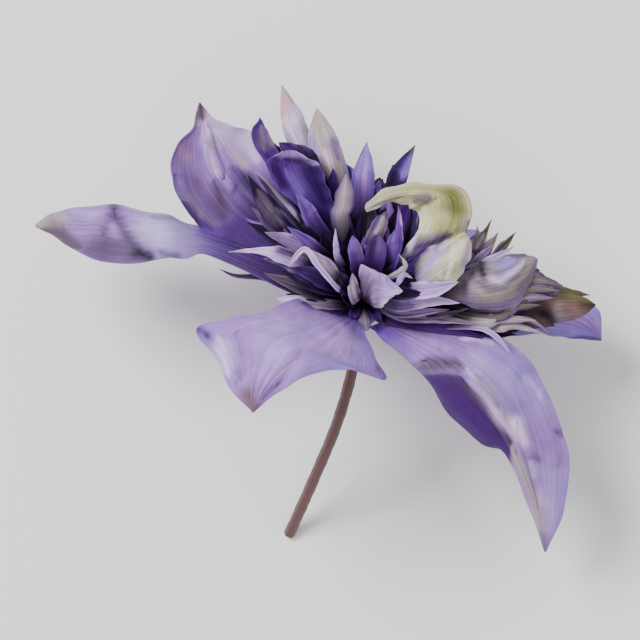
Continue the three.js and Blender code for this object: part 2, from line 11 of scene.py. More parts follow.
import bpy
import numpy as np
from bpy.props import FloatProperty, FloatVectorProperty, IntProperty, PointerProperty
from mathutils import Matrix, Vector


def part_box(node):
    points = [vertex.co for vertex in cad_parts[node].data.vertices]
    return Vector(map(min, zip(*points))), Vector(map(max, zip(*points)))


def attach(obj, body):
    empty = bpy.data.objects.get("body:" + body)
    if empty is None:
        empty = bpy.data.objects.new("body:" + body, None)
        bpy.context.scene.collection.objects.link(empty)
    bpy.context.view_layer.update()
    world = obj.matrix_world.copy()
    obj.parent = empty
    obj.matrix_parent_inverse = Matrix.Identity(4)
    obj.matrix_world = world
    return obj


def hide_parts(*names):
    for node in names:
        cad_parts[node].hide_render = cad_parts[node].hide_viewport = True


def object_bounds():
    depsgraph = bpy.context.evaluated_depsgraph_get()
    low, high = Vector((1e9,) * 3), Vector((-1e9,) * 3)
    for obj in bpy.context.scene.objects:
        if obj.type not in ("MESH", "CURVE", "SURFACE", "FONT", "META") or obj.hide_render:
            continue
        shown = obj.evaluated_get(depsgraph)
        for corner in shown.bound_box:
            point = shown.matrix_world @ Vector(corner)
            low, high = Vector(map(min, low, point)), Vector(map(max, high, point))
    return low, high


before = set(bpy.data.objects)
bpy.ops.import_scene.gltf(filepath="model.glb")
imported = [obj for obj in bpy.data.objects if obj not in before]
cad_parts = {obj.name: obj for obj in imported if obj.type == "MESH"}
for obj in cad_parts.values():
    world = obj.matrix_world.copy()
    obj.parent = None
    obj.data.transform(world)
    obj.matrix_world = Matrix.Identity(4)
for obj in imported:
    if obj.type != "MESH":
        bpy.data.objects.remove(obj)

bl_info = {
    "name": "Double clematis flower",
    "version": (1, 0, 0),
    "blender": (4, 5, 0),
    "location": "View3D > Sidebar > Clematis",
    "description": "Builds a picked double clematis flower round its packed model",
    "category": "Object",
}

CAD_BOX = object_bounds()
MM = 0.001

# ---- Driving dimensions, in millimetres and degrees ---------------------------------------------

RECEPTACLE_HEIGHT = 38.0  # middle of the receptacle above the surface
AXIS_HEADING = 80.0  # from +X to the flower's axis, seen from above
AXIS_LIFT = 22.0  # how far the axis rises from the surface
CORE_RADIUS = 4.4  # dome that the inner petals are rooted in
CORE_OFFSET = 7.3  # dome's middle above the receptacle's, along the axis
STALK_RADIUS = 1.2

# Radius and place along the axis of the receptacle's outline, from the stalk up.
RECEPTACLE_PROFILE = [(1.2, -4.8), (1.5, -4.4), (2.5, -3.3), (3.6, -2.0), (4.2, 0.0), (3.9, 1.7), (2.5, 2.6)]

# ---- Colours ------------------------------------------------------------------------------------


def linear(hex_colour):
    """Linear red, green and blue of an sRGB hex colour."""
    channels = [int(hex_colour[i : i + 2], 16) / 255 for i in (1, 3, 5)]
    return [c / 12.92 if c <= 0.04045 else ((c + 0.055) / 1.055) ** 2.4 for c in channels]


def colour_setting(name, hex_colour, description):
    """A colour that the user can change, given as sRGB hex."""
    return FloatVectorProperty(
        name=name, subtype="COLOR", size=3, min=0, max=1, default=linear(hex_colour), description=description
    )


def length_setting(name, millimetres, description):
    """A small length that the user can change, given in millimetres."""
    return FloatProperty(
        name=name, unit="LENGTH", default=millimetres * MM, min=0, soft_max=3 * MM, description=description
    )


class ClematisPetalSettings(bpy.types.PropertyGroup):
    """Sizes of the petals"""

    outer_thickness: length_setting("Outer thickness", 0.55, "Thickness of an outer petal at its midrib")
    inner_thickness: length_setting("Inner thickness", 0.4, "Thickness of an inner petal at its midrib")
    outer_ribs: length_setting("Outer ribs", 0.3, "Depth of the three ribs pressed in an outer petal")
    inner_ribs: length_setting("Inner ribs", 0.15, "Depth of the three ribs pressed in an inner petal")


class ClematisPaintSettings(bpy.types.PropertyGroup):
    """Colours of the petals"""

    # Gleam, ice and most daubs of pale are painted highlights on the petals; pale also edges the lilac inner
    # petals.
    gleam: colour_setting("Gleam", "#F4CFFF", "Folds where the light comes through a petal")
    pale: colour_setting("Pale", "#D6BDEE", "Petal margins that catch the light")
    lilac: colour_setting("Lilac", "#B794DC", "Palest inner petals")
    lavender: colour_setting("Lavender", "#A680D2", "Upper face of an outer petal")
    ice: colour_setting("Ice", "#C4B8F0", "Bluish parts of an outer petal that catch the light")
    blue_lavender: colour_setting("Blue lavender", "#8C78D2", "Bluer parts of an outer petal")
    # Shade is painted shade: the grey-violet of an outer petal where it lies in shadow. Every outer petal's
    # wash also takes some of it, most towards the claw.
    shade: colour_setting("Shade", "#664A80", "Where an outer petal is more strongly coloured")
    light_violet: colour_setting("Light violet", "#8263C2", "Lighter inner petals")
    bright_violet: colour_setting("Bright violet", "#6B37A8", "Claws of the outer petals")
    violet: colour_setting("Violet", "#532A7A", "Inner petals")
    deep_violet: colour_setting("Deep violet", "#36125C", "Darker inner petals")
    # Night is painted shade: the near-black of the gaps deep in the head. Dusk, mauve and deep violet also
    # paint shade in many daubs, besides colouring petals of their own.
    night: colour_setting("Night", "#12031F", "Depths between the inner petals")
    navy: colour_setting("Navy", "#190D42", "Blue-black inner petals")
    mauve: colour_setting("Mauve", "#75637E", "Underside of an inner petal")
    dusk: colour_setting("Dusk", "#4B3B52", "Underside of a darker inner petal")
    oat: colour_setting("Oat", "#B0A1A4", "Pale bar along a petal")
    cream: colour_setting("Cream", "#D9D2BE", "Palest part of a petal that has not coloured yet")
    green_cream: colour_setting("Green cream", "#A7A66B", "Petals that have not coloured yet")
    olive: colour_setting("Olive", "#5E602E", "Unripe tips")
    dry_brown: colour_setting("Dry brown", "#6B5451", "Dried petal ends")
    blush: colour_setting("Blush", "#E6A79B", "Pinkish margin")


class ClematisStalkSettings(bpy.types.PropertyGroup):
    """Sizes and colours of the stalk"""

    ribs: IntProperty(name="Ribs", default=6, min=3, max=12, description="Shallow ribs round the stalk")
    skin: colour_setting("Skin", "#5C3E3F", "Purple brown skin of the stalk")
    # Young shaded skin is the darker skin just under the bloom: partly younger skin, partly painted shade
    # under the head.
    young_shaded_skin: colour_setting("Young skin", "#4A3D3C", "Greener skin near the bloom")
    pith: colour_setting("Pith", "#B9B98A", "Cut end of the stalk")


class ClematisStageSettings(bpy.types.PropertyGroup):
    """Floor, lights and camera"""

    floor: colour_setting("Floor", "#F4F3F1", "Plain pale floor")
    key_power: FloatProperty(
        name="Key light", default=25, min=0, unit="POWER", description="Large soft light"
    )
    sky_strength: FloatProperty(name="Sky", default=0.84, min=0, description="Even light from all round")
    frame_width: FloatProperty(
        name="Frame width", default=142 * MM, min=50 * MM, unit="LENGTH",
        description="Width that the camera shows at the height of the receptacle",
    )


# ---- Directions ---------------------------------------------------------------------------------


def unit(v):
    """A vector, or each row of an array of them, at length 1."""
    v = np.asarray(v, float)
    return v / np.linalg.norm(v, axis=-1, keepdims=True)


def axis_frame():
    """AXIS points out of the bloom, and LEFT and NEAR span the plane that the outer petals spread in."""
    heading, lift = math.radians(AXIS_HEADING), math.radians(AXIS_LIFT)
    ahead = np.array([math.cos(heading), math.sin(heading), 0.0])
    axis = ahead * math.cos(lift) + UP * math.sin(lift)
    left = np.array([-math.sin(heading), math.cos(heading), 0.0])
    return axis, left, np.cross(axis, left)


UP = np.array([0.0, 0.0, 1.0])
AXIS, LEFT, NEAR = axis_frame()
CORE = AXIS * CORE_OFFSET


def receptacle_reach(axis_share):
    """How far the receptacle reaches from its middle along a frame axis that holds that share of AXIS."""
    across = math.sqrt(1 - axis_share**2)
    return max(radius * across + along * axis_share for radius, along in RECEPTACLE_PROFILE)


def receptacle_middle():
    """The middle of the receptacle in the frame, from the stalk's own node."""
    high_x, high_y, _ = np.array(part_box("stalk")[1]) / MM
    reach_x, reach_y = receptacle_reach(AXIS[0]), receptacle_reach(AXIS[1])
    return np.array([high_x - reach_x, high_y - reach_y, RECEPTACLE_HEIGHT])


MIDDLE = receptacle_middle()


def around(degrees):
    """The direction at an angle round the axis: 0 is LEFT, 90 is NEAR, which looks up."""
    a = math.radians(degrees)
    return LEFT * math.cos(a) + NEAR * math.sin(a)


def away_from_axis(v):
    """The direction from the axis to a place."""
    return unit(v - AXIS * np.dot(v, AXIS))


def turned(v, about, degrees):
    """v turned about a unit vector by the right-hand rule."""
    a = math.radians(degrees)
    return v * math.cos(a) + np.cross(about, v) * math.sin(a) + about * np.dot(about, v) * (1 - math.cos(a))


# ---- Petal surfaces -----------------------------------------------------------------------------
# A petal's middle surface is a function of s, 0 at the claw to 1 at the tip, and t, -1 to 1 across.


def smooth(low, high, x):
    """0 at low to 1 at high, easing in and out. It falls where high is the lower of the two."""
    u = np.clip((x - low) / (high - low), 0, 1)
    return u * u * (3 - 2 * u)


def along_curve(points, s):
    """Places and directions at the shares s of the smooth curve through the points."""
    p = np.asarray(points, float)
    p = np.vstack([2 * p[0] - p[1], p, 2 * p[-1] - p[-2]])
    spans = len(points) - 1
    u = np.clip(s, 0, 1) * spans
    i = np.minimum(u.astype(int), spans - 1)
    w = (u - i)[:, None]
    a, b = p[i + 1], p[i + 2]
    da, db = (b - p[i]) / 2, (p[i + 3] - a) / 2
    place = (
        a * (2 * w**3 - 3 * w**2 + 1)
        + da * (w**3 - 2 * w**2 + w)
        + b * (3 * w**2 - 2 * w**3)
        + db * (w**3 - w**2)
    )
    slope = (
        a * (6 * w**2 - 6 * w)
        + da * (3 * w**2 - 4 * w + 1)
        + b * (6 * w - 6 * w**2)
        + db * (3 * w**2 - 2 * w)
    )
    return place, unit(slope)


def ripple(petal, s, t):
    """Margin waves, which grow from the midrib to the edge."""
    wave, phase = petal.get("wave", 0), petal.get("phase", 0)
    shift = np.where(t > 0, 1.3, 0)  # so that the two margins don't wave together
    return wave * np.sin(3 * np.pi * s + phase + shift) * t * t * smooth(0.1, 0.35, s)


def broad_surface(petal, s, t):
    """A petal between a left margin, a midrib and a right margin."""
    left, _ = along_curve(petal["left"], s)
    middle, along = along_curve(petal["middle"], s)
    right, _ = along_curve(petal["right"], s)
    face = unit(np.cross(along, right - left))
    left, middle, right, face = (v[:, None, :] for v in (left, middle, right, face))
    t3 = t[None, :, None]
    rise = ripple(petal, s[:, None], t[None, :])[..., None]
    return middle * (1 - t3**2) + left * (t3**2 - t3) / 2 + right * (t3**2 + t3) / 2 + face * rise


def taper(s, claw, widest, point):
    """Half width along a narrow petal, as a share of its widest: a claw, a swell, and a pointed end."""
    rising = np.sin(np.clip(s / widest, 0, 1) * np.pi / 2) ** 0.9
    falling = 1 - (1 - np.clip((1 - s) / (1 - widest), 0, 1)) ** point
    body = np.where(s < widest, rising, falling)
    return np.maximum(claw * (1 - smooth(0, widest, s)) + body * smooth(0, 0.12, s), 0.03)


def narrow_surface(petal, s, t):
    """A petal along a midrib, with its width by taper and its margins raised by cup."""
    place, along = along_curve(petal["path"], s)
    side = petal["side"]
    across = unit(side - along * (along @ side)[:, None])
    face = np.cross(along, across)
    twist = (np.radians(petal.get("twist", 0)) * s**2)[:, None]
    across, face = (
        across * np.cos(twist) + face * np.sin(twist),
        face * np.cos(twist) - across * np.sin(twist),
    )
    outline = taper(s, petal.get("claw", 0.45), petal.get("widest", 0.5), petal.get("point", 1.6))
    half = (petal["half_width"] * outline)[:, None, None]
    place, across, face = (v[:, None, :] for v in (place, across, face))
    t3 = t[None, :, None]
    rise = ripple(petal, s[:, None], t[None, :])[..., None]
    return place + across * half * t3 + face * (half * petal.get("cup", 0.25) * t3**2 + rise)


def nearness(points, line, radius):
    """1 on a line of points (x, y) seen from above, fading to 0 two radii off, and thin at its ends."""
    corners = np.array(line, float)
    steps = np.linalg.norm(np.diff(corners, axis=0), axis=1)
    passed = np.concatenate([[0], np.cumsum(steps)])
    slim = 0.75 * float(smooth(2, 5, passed[-1] / radius))
    gap = np.full(points.shape[:-1], np.inf)
    for start, end, before, step in zip(corners[:-1], corners[1:], passed, steps):
        share = np.clip(((points[..., :2] - start) @ (end - start)) / step**2, 0, 1)
        along = 2 * (before + share * step) / passed[-1] - 1
        width = radius * (1 - slim * along**4)
        nearest = start + share[..., None] * (end - start)
        gap = np.minimum(gap, np.linalg.norm(points[..., :2] - nearest, axis=-1) / width)
    return np.exp(-(gap**2))


def fine_relief(petal, points, s, t, rib_depth):
    """Height off the middle surface: pressed-in ribs, a frilled margin, slow dents and creases."""
    seed = petal["seed"]
    ribs = sum(np.exp(-(((t - at) / 0.05) ** 2)) for at in (-0.22, 0, 0.22)) * smooth(1.0, 0.8, s)
    frill = petal.get("frill", 0.25) * np.abs(t) ** 4 * (
        np.sin(17 * s + 2.1 * seed + 0.7 * t) + 0.6 * np.sin(41 * s + 1.3 * seed)
    )
    dents = petal.get("dents", 0.25) * (
        np.sin(5.1 * s + 2.3 * t + seed) * np.sin(3.7 * t - 4.3 * s + 0.7 * seed)
    )
    fade = smooth(0.02, 0.2, s) * smooth(1.0, 0.85, s)
    height = (frill + dents - rib_depth * ribs) * fade
    for *line, radius, depth in petal.get("creases", ()):
        height = height + depth * nearness(points, line, radius)
    return height


def petal_points(petal, rows, columns, thickness, rib_depth):
    """The fine middle surface as rows of points, with nothing pressed below the surface it lies on."""
    s = np.linspace(0, 1, rows + 1)
    t = np.linspace(-1, 1, columns + 1)
    surface = broad_surface if "middle" in petal else narrow_surface
    points = surface(petal, s, t)
    face = unit(np.cross(np.gradient(points, axis=0), np.gradient(points, axis=1)) + 1e-12)
    height = fine_relief(petal, points, s[:, None], t[None, :], rib_depth)
    points = points + face * height[..., None]
    points[..., 2] = np.maximum(points[..., 2], thickness / 2 - RECEPTACLE_HEIGHT)
    return points


# ---- Outer petals -------------------------------------------------------------------------------
# Daubs and creases are (x, y), (x, y), ..., radius, then a colour and its share, or a height: a soft
# line of colour, or a soft fold, along a line seen from above. Many daubs are painted light and shade:
# painted highlights in pale, ice and gleam, and painted shade in shade, dusk, night and some mauve and
# deep violet; the rest are the petal's own markings. The face of a broad petal is the side that looks
# up. Its throat is a colour, the shares of its length where that starts and is full, and how strong
# it is.


def even_petal(path, half_width, phase):
    """A plain outer petal along a midrib, for those that only the back and the sides show."""
    side = np.cross(AXIS, away_from_axis(np.array(path[-1], float)))
    return {
        "path": path, "side": side, "half_width": half_width, "claw": 0.25, "point": 2, "cup": 0.1,
        "wave": 0.6, "phase": phase,
    }


LEFT_LONG = {  # out to the left, seen nearly edge on, its tip curled and pale
    "left": [
        (-5, 2.8, -2), (-18, 12.5, -10), (-33, 17.6, -13), (-38.6, 18.9, -13), (-46, 21.4, -12.5),
        (-54.8, 23.4, -11), (-62.8, 22.6, -8), (-68.6, 21.7, -5), (-72.2, 19.1, -3),
    ],
    "middle": [
        (-5.2, 1.4, 0), (-19, 9, 0), (-33, 14.8, 0), (-38.6, 15.6, 1), (-46, 16.2, 1.5), (-54.8, 16.8, 1),
        (-62.5, 17.8, 0), (-68, 18.9, -1.5), (-72.4, 18.8, -2.7),
    ],
    "right": [
        (-5, 0, 2), (-18, 5, 9), (-32.5, 11.6, 12), (-38.4, 11.7, 12.5), (-46, 11.4, 13), (-54, 10, 13),
        (-61.5, 12, 10), (-67, 15.9, 5), (-72, 18.4, -2.3),
    ],
    "ground": "lavender",
    "bar": 0.1,
    "creases": [
        ((-54.8, 22), (-57, 16), 1.2, -0.6),
        ((-54.4, 21.6), (-51, 16), (-48, 12.6), 1.3, -0.9),
        ((-66, 18.6), (-60.4, 14.6), 1.2, -0.6),
        ((-43.5, 19), (-42, 13), 2.2, 0.6),
        ((-59, 20), (-57.6, 14), 1.8, 0.4),
    ],
    # Painted shade in shade, dusk and night on the lower middle and along the creases, and in dusk and olive
    # under the curled tip; painted light in ice on the lit facet to the right.
    "daubs": [
        ((-64, 19), (-57, 18), 4.0, "shade", 0.35),
        ((-60, 12.6), (-49, 12), 2.8, "shade", 0.9),
        ((-61, 15), (-52.4, 15.2), 2.2, "shade", 0.6),
        ((-58, 13.4), (-50.6, 13.4), 2.6, "dusk", 0.5),
        ((-47, 17.6), (-42, 16.2), 3.5, "ice", 0.8),
        ((-54.9, 18.6), (-54.3, 17.4), 1.4, "lilac", 0.9),
        ((-65, 21.6), (-57, 21.8), 1.0, "ice", 0.35),
        ((-47.4, 21), (-42, 20), (-38, 18.2), 0.8, "mauve", 0.7),
        ((-55.2, 24), (-54.7, 20.6), 1.2, "dusk", 0.85),
        ((-54.9, 21.4), (-56.8, 17), 1.3, "shade", 0.55),
        ((-54.8, 21.6), (-51.6, 16.4), (-48.6, 12.2), 1.8, "shade", 0.8),
        ((-54.6, 21.4), (-51.2, 16), (-48.6, 12.2), 1.0, "dusk", 0.3),
        ((-49.8, 12.2), (-46.8, 11.4), 1.5, "night", 1),
        ((-44, 12.6), (-40.2, 12), 1.0, "dusk", 0.8),
        ((-56, 13.6), (-50.6, 14.6), 2.3, "dusk", 0.45),
        ((-73, 18.8), (-67, 20.4), 2.0, "oat", 0.95),
        ((-69, 19.6), (-67, 18.6), 1.1, "dry_brown", 0.4),
        ((-73, 18), (-68, 17.4), (-62.4, 13.8), 1.4, "olive", 0.6),
        ((-71, 17.6), (-66, 16.4), (-61.6, 13.6), 1.3, "dusk", 0.8),
        ((-38.8, 16.6), (-37.4, 14.6), 2.2, "green_cream", 0.25),
        ((-35.6, 17.6), (-33, 17), 1.4, "bright_violet", 0.7),
        ((-36, 16), (-33, 15), 5.0, "blue_lavender", 0.5),
        ((-28, 14), (-18, 10), 9.0, "deep_violet", 0.9),
    ],
}

UPPER_LEFT = {  # rising behind the head on the left, hollowed along its midrib
    "left": [
        (-5, 2.8, -2.4), (-17, 9.6, -6), (-28, 14.6, -8), (-35.6, 18.8, -9), (-40.6, 25.8, -10),
        (-42.1, 31, -10.5), (-41.2, 36.6, -11), (-37.5, 40.9, -11.5), (-36.1, 46.2, -12),
    ],
    "middle": [
        (-3.8, 3.8, -3), (-13, 11.5, -10), (-20, 18, -14), (-26, 24, -16), (-30, 29.5, -17),
        (-32.5, 34, -17), (-34, 38.5, -16), (-35.3, 42.5, -14.5), (-36, 46.4, -12.3),
    ],
    "right": [
        (-2.6, 4.6, -3.6), (-8, 14, -12), (-13, 23, -17), (-17.5, 30.5, -18), (-21, 36, -18),
        (-24.5, 39.8, -17), (-28.5, 41.3, -16), (-32.8, 43, -14.5), (-35.9, 46.5, -12.6),
    ],
    "ground": "lavender",
    "bar": 0,
    # darker towards the claw: partly the petal's own deeper colour, partly painted shade in the gap by the
    # head
    "throat": ("deep_violet", 0.54, 0.3, 0.9),
    "creases": [
        ((-35, 42), (-34.6, 37), (-31.2, 29.5), 1.1, -0.9),
        ((-34.3, 40), (-29, 27), 3.0, -0.8),
        ((-41, 30), (-36, 21), 2.0, 0.6),
    ],
    # Painted shade in shade, dusk and night on the left half beyond the fold, in the gap by the head and
    # under the lower margin; painted light in pale on the upper right.
    "daubs": [
        ((-40, 36), (-38.4, 25), 3.4, "shade", 0.6),
        ((-37, 28), (-33, 22.6), 2.6, "shade", 0.8),
        ((-38, 26), (-35.6, 22.6), 1.8, "dusk", 0.4),
        ((-34, 43), (-30, 41), (-24, 38), 3.4, "pale", 1),
        ((-34.6, 42), (-33.4, 38), (-31.6, 35), 1.3, "oat", 0.5),
        ((-33.4, 41.6), (-31, 38), 1.4, "pale", 0.6),
        ((-35, 37.4), (-33.6, 33.4), (-31.6, 29.4), 0.75, "pale", 0.65),
        ((-30.2, 35.2), (-27.4, 34), (-25.2, 31.8), 0.8, "oat", 0.95),
        ((-25.6, 38.6), (-22.6, 33.4), 1.0, "pale", 0.7),
        ((-29, 31.6), (-26, 29.8), (-24, 27), 1.6, "night", 0.6),
        ((-25.6, 30), (-24, 25), (-22, 20), 2.6, "night", 0.5),
        ((-32.4, 29), (-31.4, 24), (-30.6, 20), 1.5, "dusk", 0.75),
        ((-36.4, 44), (-37.8, 40), 0.9, "mauve", 0.6),
        ((-36, 45.8), (-35.4, 43), 0.9, "dry_brown", 0.9),
        ((-39.8, 35.8), (-39, 34.6), 1.3, "blush", 0.2),
        ((-40.4, 27.4), (-37.6, 23.4), (-34, 20.4), (-31, 18.6), 0.9, "mauve", 0.45),
        ((-39.6, 24), (-36.4, 20.4), (-32.8, 17.4), 0.9, "night", 0.6),
        ((-34.6, 17.4), (-31.6, 15.8), 1.3, "bright_violet", 0.7),
    ],
}

NEAR_BROAD = {  # towards the eye, square-shouldered and drooping to its tip
    "left": [
        (-3.9, 1.8, 3.9), (-12.8, 2.6, 12), (-21, -0.5, 20), (-29.5, -1.9, 27), (-36.1, -4.5, 30),
        (-31.7, -10.5, 34), (-28.6, -17.2, 37), (-23.9, -21.9, 38.2),
    ],
    "middle": [
        (-0.6, -0.4, 5.2), (-4.8, -2.8, 13), (-9, -5.5, 20.5), (-13.5, -7.5, 27), (-16.5, -9, 31),
        (-19.5, -12.5, 34.5), (-22, -17, 37), (-23.8, -22.2, 38.4),
    ],
    "right": [
        (1.6, -1.6, 4.9), (0.8, -5, 10), (3.1, -9.8, 17), (5.2, -15.4, 21), (-2.5, -13.1, 27),
        (-10, -13.8, 31), (-17.5, -17.4, 35), (-23.6, -22.2, 38.2),
    ],
    "ground": "lavender",
    "bar": 0.05,
    "creases": [
        ((-18, -16.5), (-13, -9), 1.2, -0.5),
        ((-27, -5), (-26, -15), 1.8, -0.4),
        ((-30, -8), (-27.6, -16), 1.6, 0.5),
        ((2.6, -12), (-4, -4), 2.5, 0.5),
    ],
    # Painted light in pale and lilac on the left and the middle; painted shade in shade, and in deep violet
    # along the upper edge under the head.
    "daubs": [
        ((-31.4, -6), (-28.8, -14), 1.7, "pale", 0.8),
        ((-26.6, -4.6), (-26, -15), 1.5, "shade", 0.3),
        ((-20, -4), (-17, -10), 3.6, "pale", 0.2),
        ((-24, -3.4), (-12, -2.6), 1.8, "lilac", 0.25),
        ((-15, -9.6), (-7, -10.8), 1.7, "shade", 0.18),
        ((-9, -5), (-3.4, -8.6), 3.0, "lilac", 0.7),
        ((-12, -12.2), (-6, -12.6), (0, -13.8), (4, -14.8), 0.9, "blue_lavender", 0.8),
        ((-0.6, -4), (1.8, -8.6), 1.5, "blue_lavender", 0.55),
        ((-2, -10), (2.4, -12.6), 2.0, "shade", 0.35),
        ((-18, -16), (-21.6, -19.4), 1.0, "shade", 0.5),
        ((-36.4, -4.2), (-34, -5.6), 1.0, "deep_violet", 0.8),
        ((-13, 1.8), (-8, 0.8), (-3, -0.8), 1.2, "deep_violet", 0.85),
        ((-5, 0), (0, -2.6), 1.5, "violet", 0.8),
        ((3.8, -13), (5.1, -15.2), 0.9, "shade", 0.9),
        ((-24.6, -18.6), (-23.6, -22), 2.1, "dry_brown", 0.85),
    ],
}

RIGHT_HANGING = {  # out to the right and then hanging, its left side folded under along the bar
    "left": [
        (1.7, -3.7, 3), (5.4, -6.4, 5.4), (13.0, -13.6, 5), (19.5, -22.6, 2), (27, -29.4, -1),
        (33.6, -32.6, -3), (37.5, -41.5, -9), (41, -53.4, -18),
    ],
    "middle": [
        (4.2, -2.8, 3.6), (10, -6.2, 8.5), (19, -12.0, 10.5), (25.5, -18, 9.5), (30.4, -24, 6),
        (34.3, -31.5, 1), (38.3, -42, -7), (41.3, -54, -18),
    ],
    "right": [
        (4.9, -1.6, 3.2), (15.5, -2.4, 7), (28, -4.6, 7.5), (36.8, -11, 4), (42.3, -20.5, 0),
        (46.2, -32, -5), (45.2, -45, -11), (41.6, -53.8, -18),
    ],
    "ground": "lavender",
    "bar": 0,
    "creases": [
        ((22.8, -14.4), (28.6, -20.6), (34, -31), 0.8, 0.9),
        ((13.6, -11.4), (22, -12), 1.3, -0.9),
        ((17, -8.6), (24, -8.8), 0.9, -0.5),
        ((34.6, -24.6), (36.6, -31), (39.6, -44), 0.9, -0.6),
        ((43.2, -26.8), (45.6, -28.6), 0.5, -0.6),
        ((40, -18), (43.5, -34), 2.0, 0.5),
    ],
    # Painted shade in mauve, dusk and shade along the fold band near the claw and in the creases; painted
    # highlights in pale and gleam along the upper margin and on the bend.
    "daubs": [
        ((2.4, -4), (5.4, -6), 1.7, "bright_violet", 0.9),
        ((7, -5), (10, -8.6), 1.6, "bright_violet", 0.45),
        ((11, -6.6), (18, -8.4), 2.0, "lilac", 0.3),
        ((18, -5.6), (25, -8.4), 1.8, "shade", 0.3),
        ((12, -11.8), (17, -12), (22.6, -12.5), 1.5, "mauve", 1),
        ((13.4, -11), (17, -11), (21.6, -11.5), 1.5, "dusk", 0.4),
        ((13, -12.6), (17, -12.8), (22, -13.2), 1.5, "dusk", 0.5),
        ((14.2, -15.2), (16.2, -17.8), 1.5, "deep_violet", 0.6),
        ((22, -6.4), (25.6, -6.4), (29, -7.2), 0.7, "pale", 0.9),
        ((27, -8.4), (33, -11), (37, -15), (39.4, -18.6), 1.0, "blue_lavender", 0.9),
        ((26, -10.4), (33, -17), 2.6, "pale", 0.3),
        ((34, -15), (37, -21), 2.8, "blue_lavender", 0.25),
        ((36, -14), (38.6, -17), (40, -20), 0.9, "ice", 0.5),
        ((38.6, -20), (41, -24), 2.4, "lilac", 0.35),
        ((37.6, -27), (40, -31), 2.2, "shade", 0.35),
        ((41, -33), (42.4, -41), 2.6, "lilac", 0.45),
        ((40.6, -43), (41, -49), 1.9, "pale", 0.5),
        ((23, -12.8), (25.8, -16), (29, -20.4), (32.2, -25), (34.4, -29), 1.1, "pale", 0.75),
        ((24.8, -13.8), (27.6, -17.6), (30.4, -21.4), 1.1, "mauve", 0.6),
        ((26.2, -15.4), (29.2, -19.6), 0.6, "oat", 0.6),
        ((32, -23.2), (34, -25.6), 0.9, "oat", 0.8),
        ((34, -25), (35.8, -28.8), 1.4, "pale", 1),
        ((34.4, -25.4), (35.6, -28.2), 1.2, "gleam", 0.9),
        ((33.2, -30), (35.6, -34.4), (37.6, -39.4), (39.2, -44), (40.6, -49.6), 1.0, "oat", 0.9),
        ((37.4, -33), (38.8, -37.6), 0.7, "ice", 0.6),
        ((38, -32.2), (39.2, -33.2), 0.9, "dusk", 0.5),
        ((42.6, -26), (43.6, -26.8), (45.4, -28.8), 0.7, "shade", 0.5),
        ((46.6, -34), (46.6, -38), (45, -43), 0.9, "blue_lavender", 0.8),
        ((40.8, -50), (41.2, -53.8), 1.0, "mauve", 0.6),
    ],
    # the upper edge of the crescent left of the fold: partly the petal's deeper colour, partly painted shade
    "folded_under": [(12.5, -13.6), (17, -14.0), (22.2, -14.4), (28.2, -20.4), (31.8, -26), (34.6, -33)],
}

RIGHT_REAR = {  # to the right, half hidden by the head
    "left": [
        (4.7, 0.8, -2.6), (18, 5, -12), (32, 7, -17), (44, 5.5, -19), (53, 0.9, -18), (53.9, -6.3, -17),
    ],
    "middle": [
        (5, -0.5, -1.3), (18, -1, -4), (32, -0.5, -7), (44, -1.5, -11), (50.4, -3.1, -14),
        (53.9, -6.6, -16.8),
    ],
    "right": [
        (4.9, -1.8, 0.2), (18, -4.6, 2), (32, -5.4, 3), (42, -5.6, -2), (48, -6.3, -9), (53.8, -6.8, -16.6),
    ],
    "ground": "blue_lavender",
    "bar": 0,
    "daubs": [
        ((45, -3.6), (53, -4), 2.2, "light_violet", 1),
        ((48, -1.8), (52.8, -3), 1.8, "lavender", 0.7),
        ((44, -0.6), (48, 0.6), 1.2, "violet", 0.6),
        ((42, -6), (54, -6.6), 0.5, "violet", 0.9),
    ],
}

OUTER = [
    LEFT_LONG,
    UPPER_LEFT,
    NEAR_BROAD,
    RIGHT_HANGING,
    RIGHT_REAR,
    # underneath, to the right, in the middle and to the left
    even_petal([(3.4, 1.2, -4), (11, 4, -17), (18, 8, -30), (24, 13.4, -39), (28.6, 17.4, -39)], 9, 0),
    even_petal([(0, 2.4, -5), (-0.2, 7, -19), (-1, 13, -32), (-3, 22, -39), (-5, 32, -39)], 9, 1),
    even_petal([(-3.4, 2, -4), (-10, 6, -17), (-17, 12, -30), (-24, 20, -39), (-32, 29, -39)], 10, 2),
]

# ---- Inner petals -------------------------------------------------------------------------------


def inner_petal(points, half_width, side, face, back, **more):
    """A petal rooted in the dome, lower on it the further the petal is thrown back from the axis."""
    middle = np.array(points[0], float)
    outward = away_from_axis(middle)
    lean = np.degrees(np.arccos(np.dot(unit(middle - CORE), AXIS)))
    thrown_back = float(smooth(60, 110, lean))
    root = AXIS * (CORE_OFFSET - 3.8 * thrown_back) + outward * (2.2 - 1.1 * thrown_back)
    path = [root, *points]
    return {"path": path, "side": side, "half_width": half_width, "face": face, "back": back, **more}


# What the other side of a petal shows.
OTHER_SIDE = {
    "night": "dusk", "deep": "dusk", "navy": "dusk", "violet": "mauve", "light": "mauve", "lilac": "mauve",
    "mauve": "violet", "dusk": "deep", "grey": "deep", "silver": "deep", "striped": "deep", "cream": "cream",
    "dry": "dry",
}


def shown_petal(points, half_width, turn, look, **more):
    """An inner petal by its look from above: turn is 0 where its face looks up, 180 where its back does."""
    run = unit(np.array(points[-1], float) - CORE)
    side = turned(unit(np.cross(UP, run)), run, turn)
    face, back = (look, OTHER_SIDE[look]) if abs(turn) <= 90 else (OTHER_SIDE[look], look)
    return inner_petal(points, half_width, side, face, back, **more)
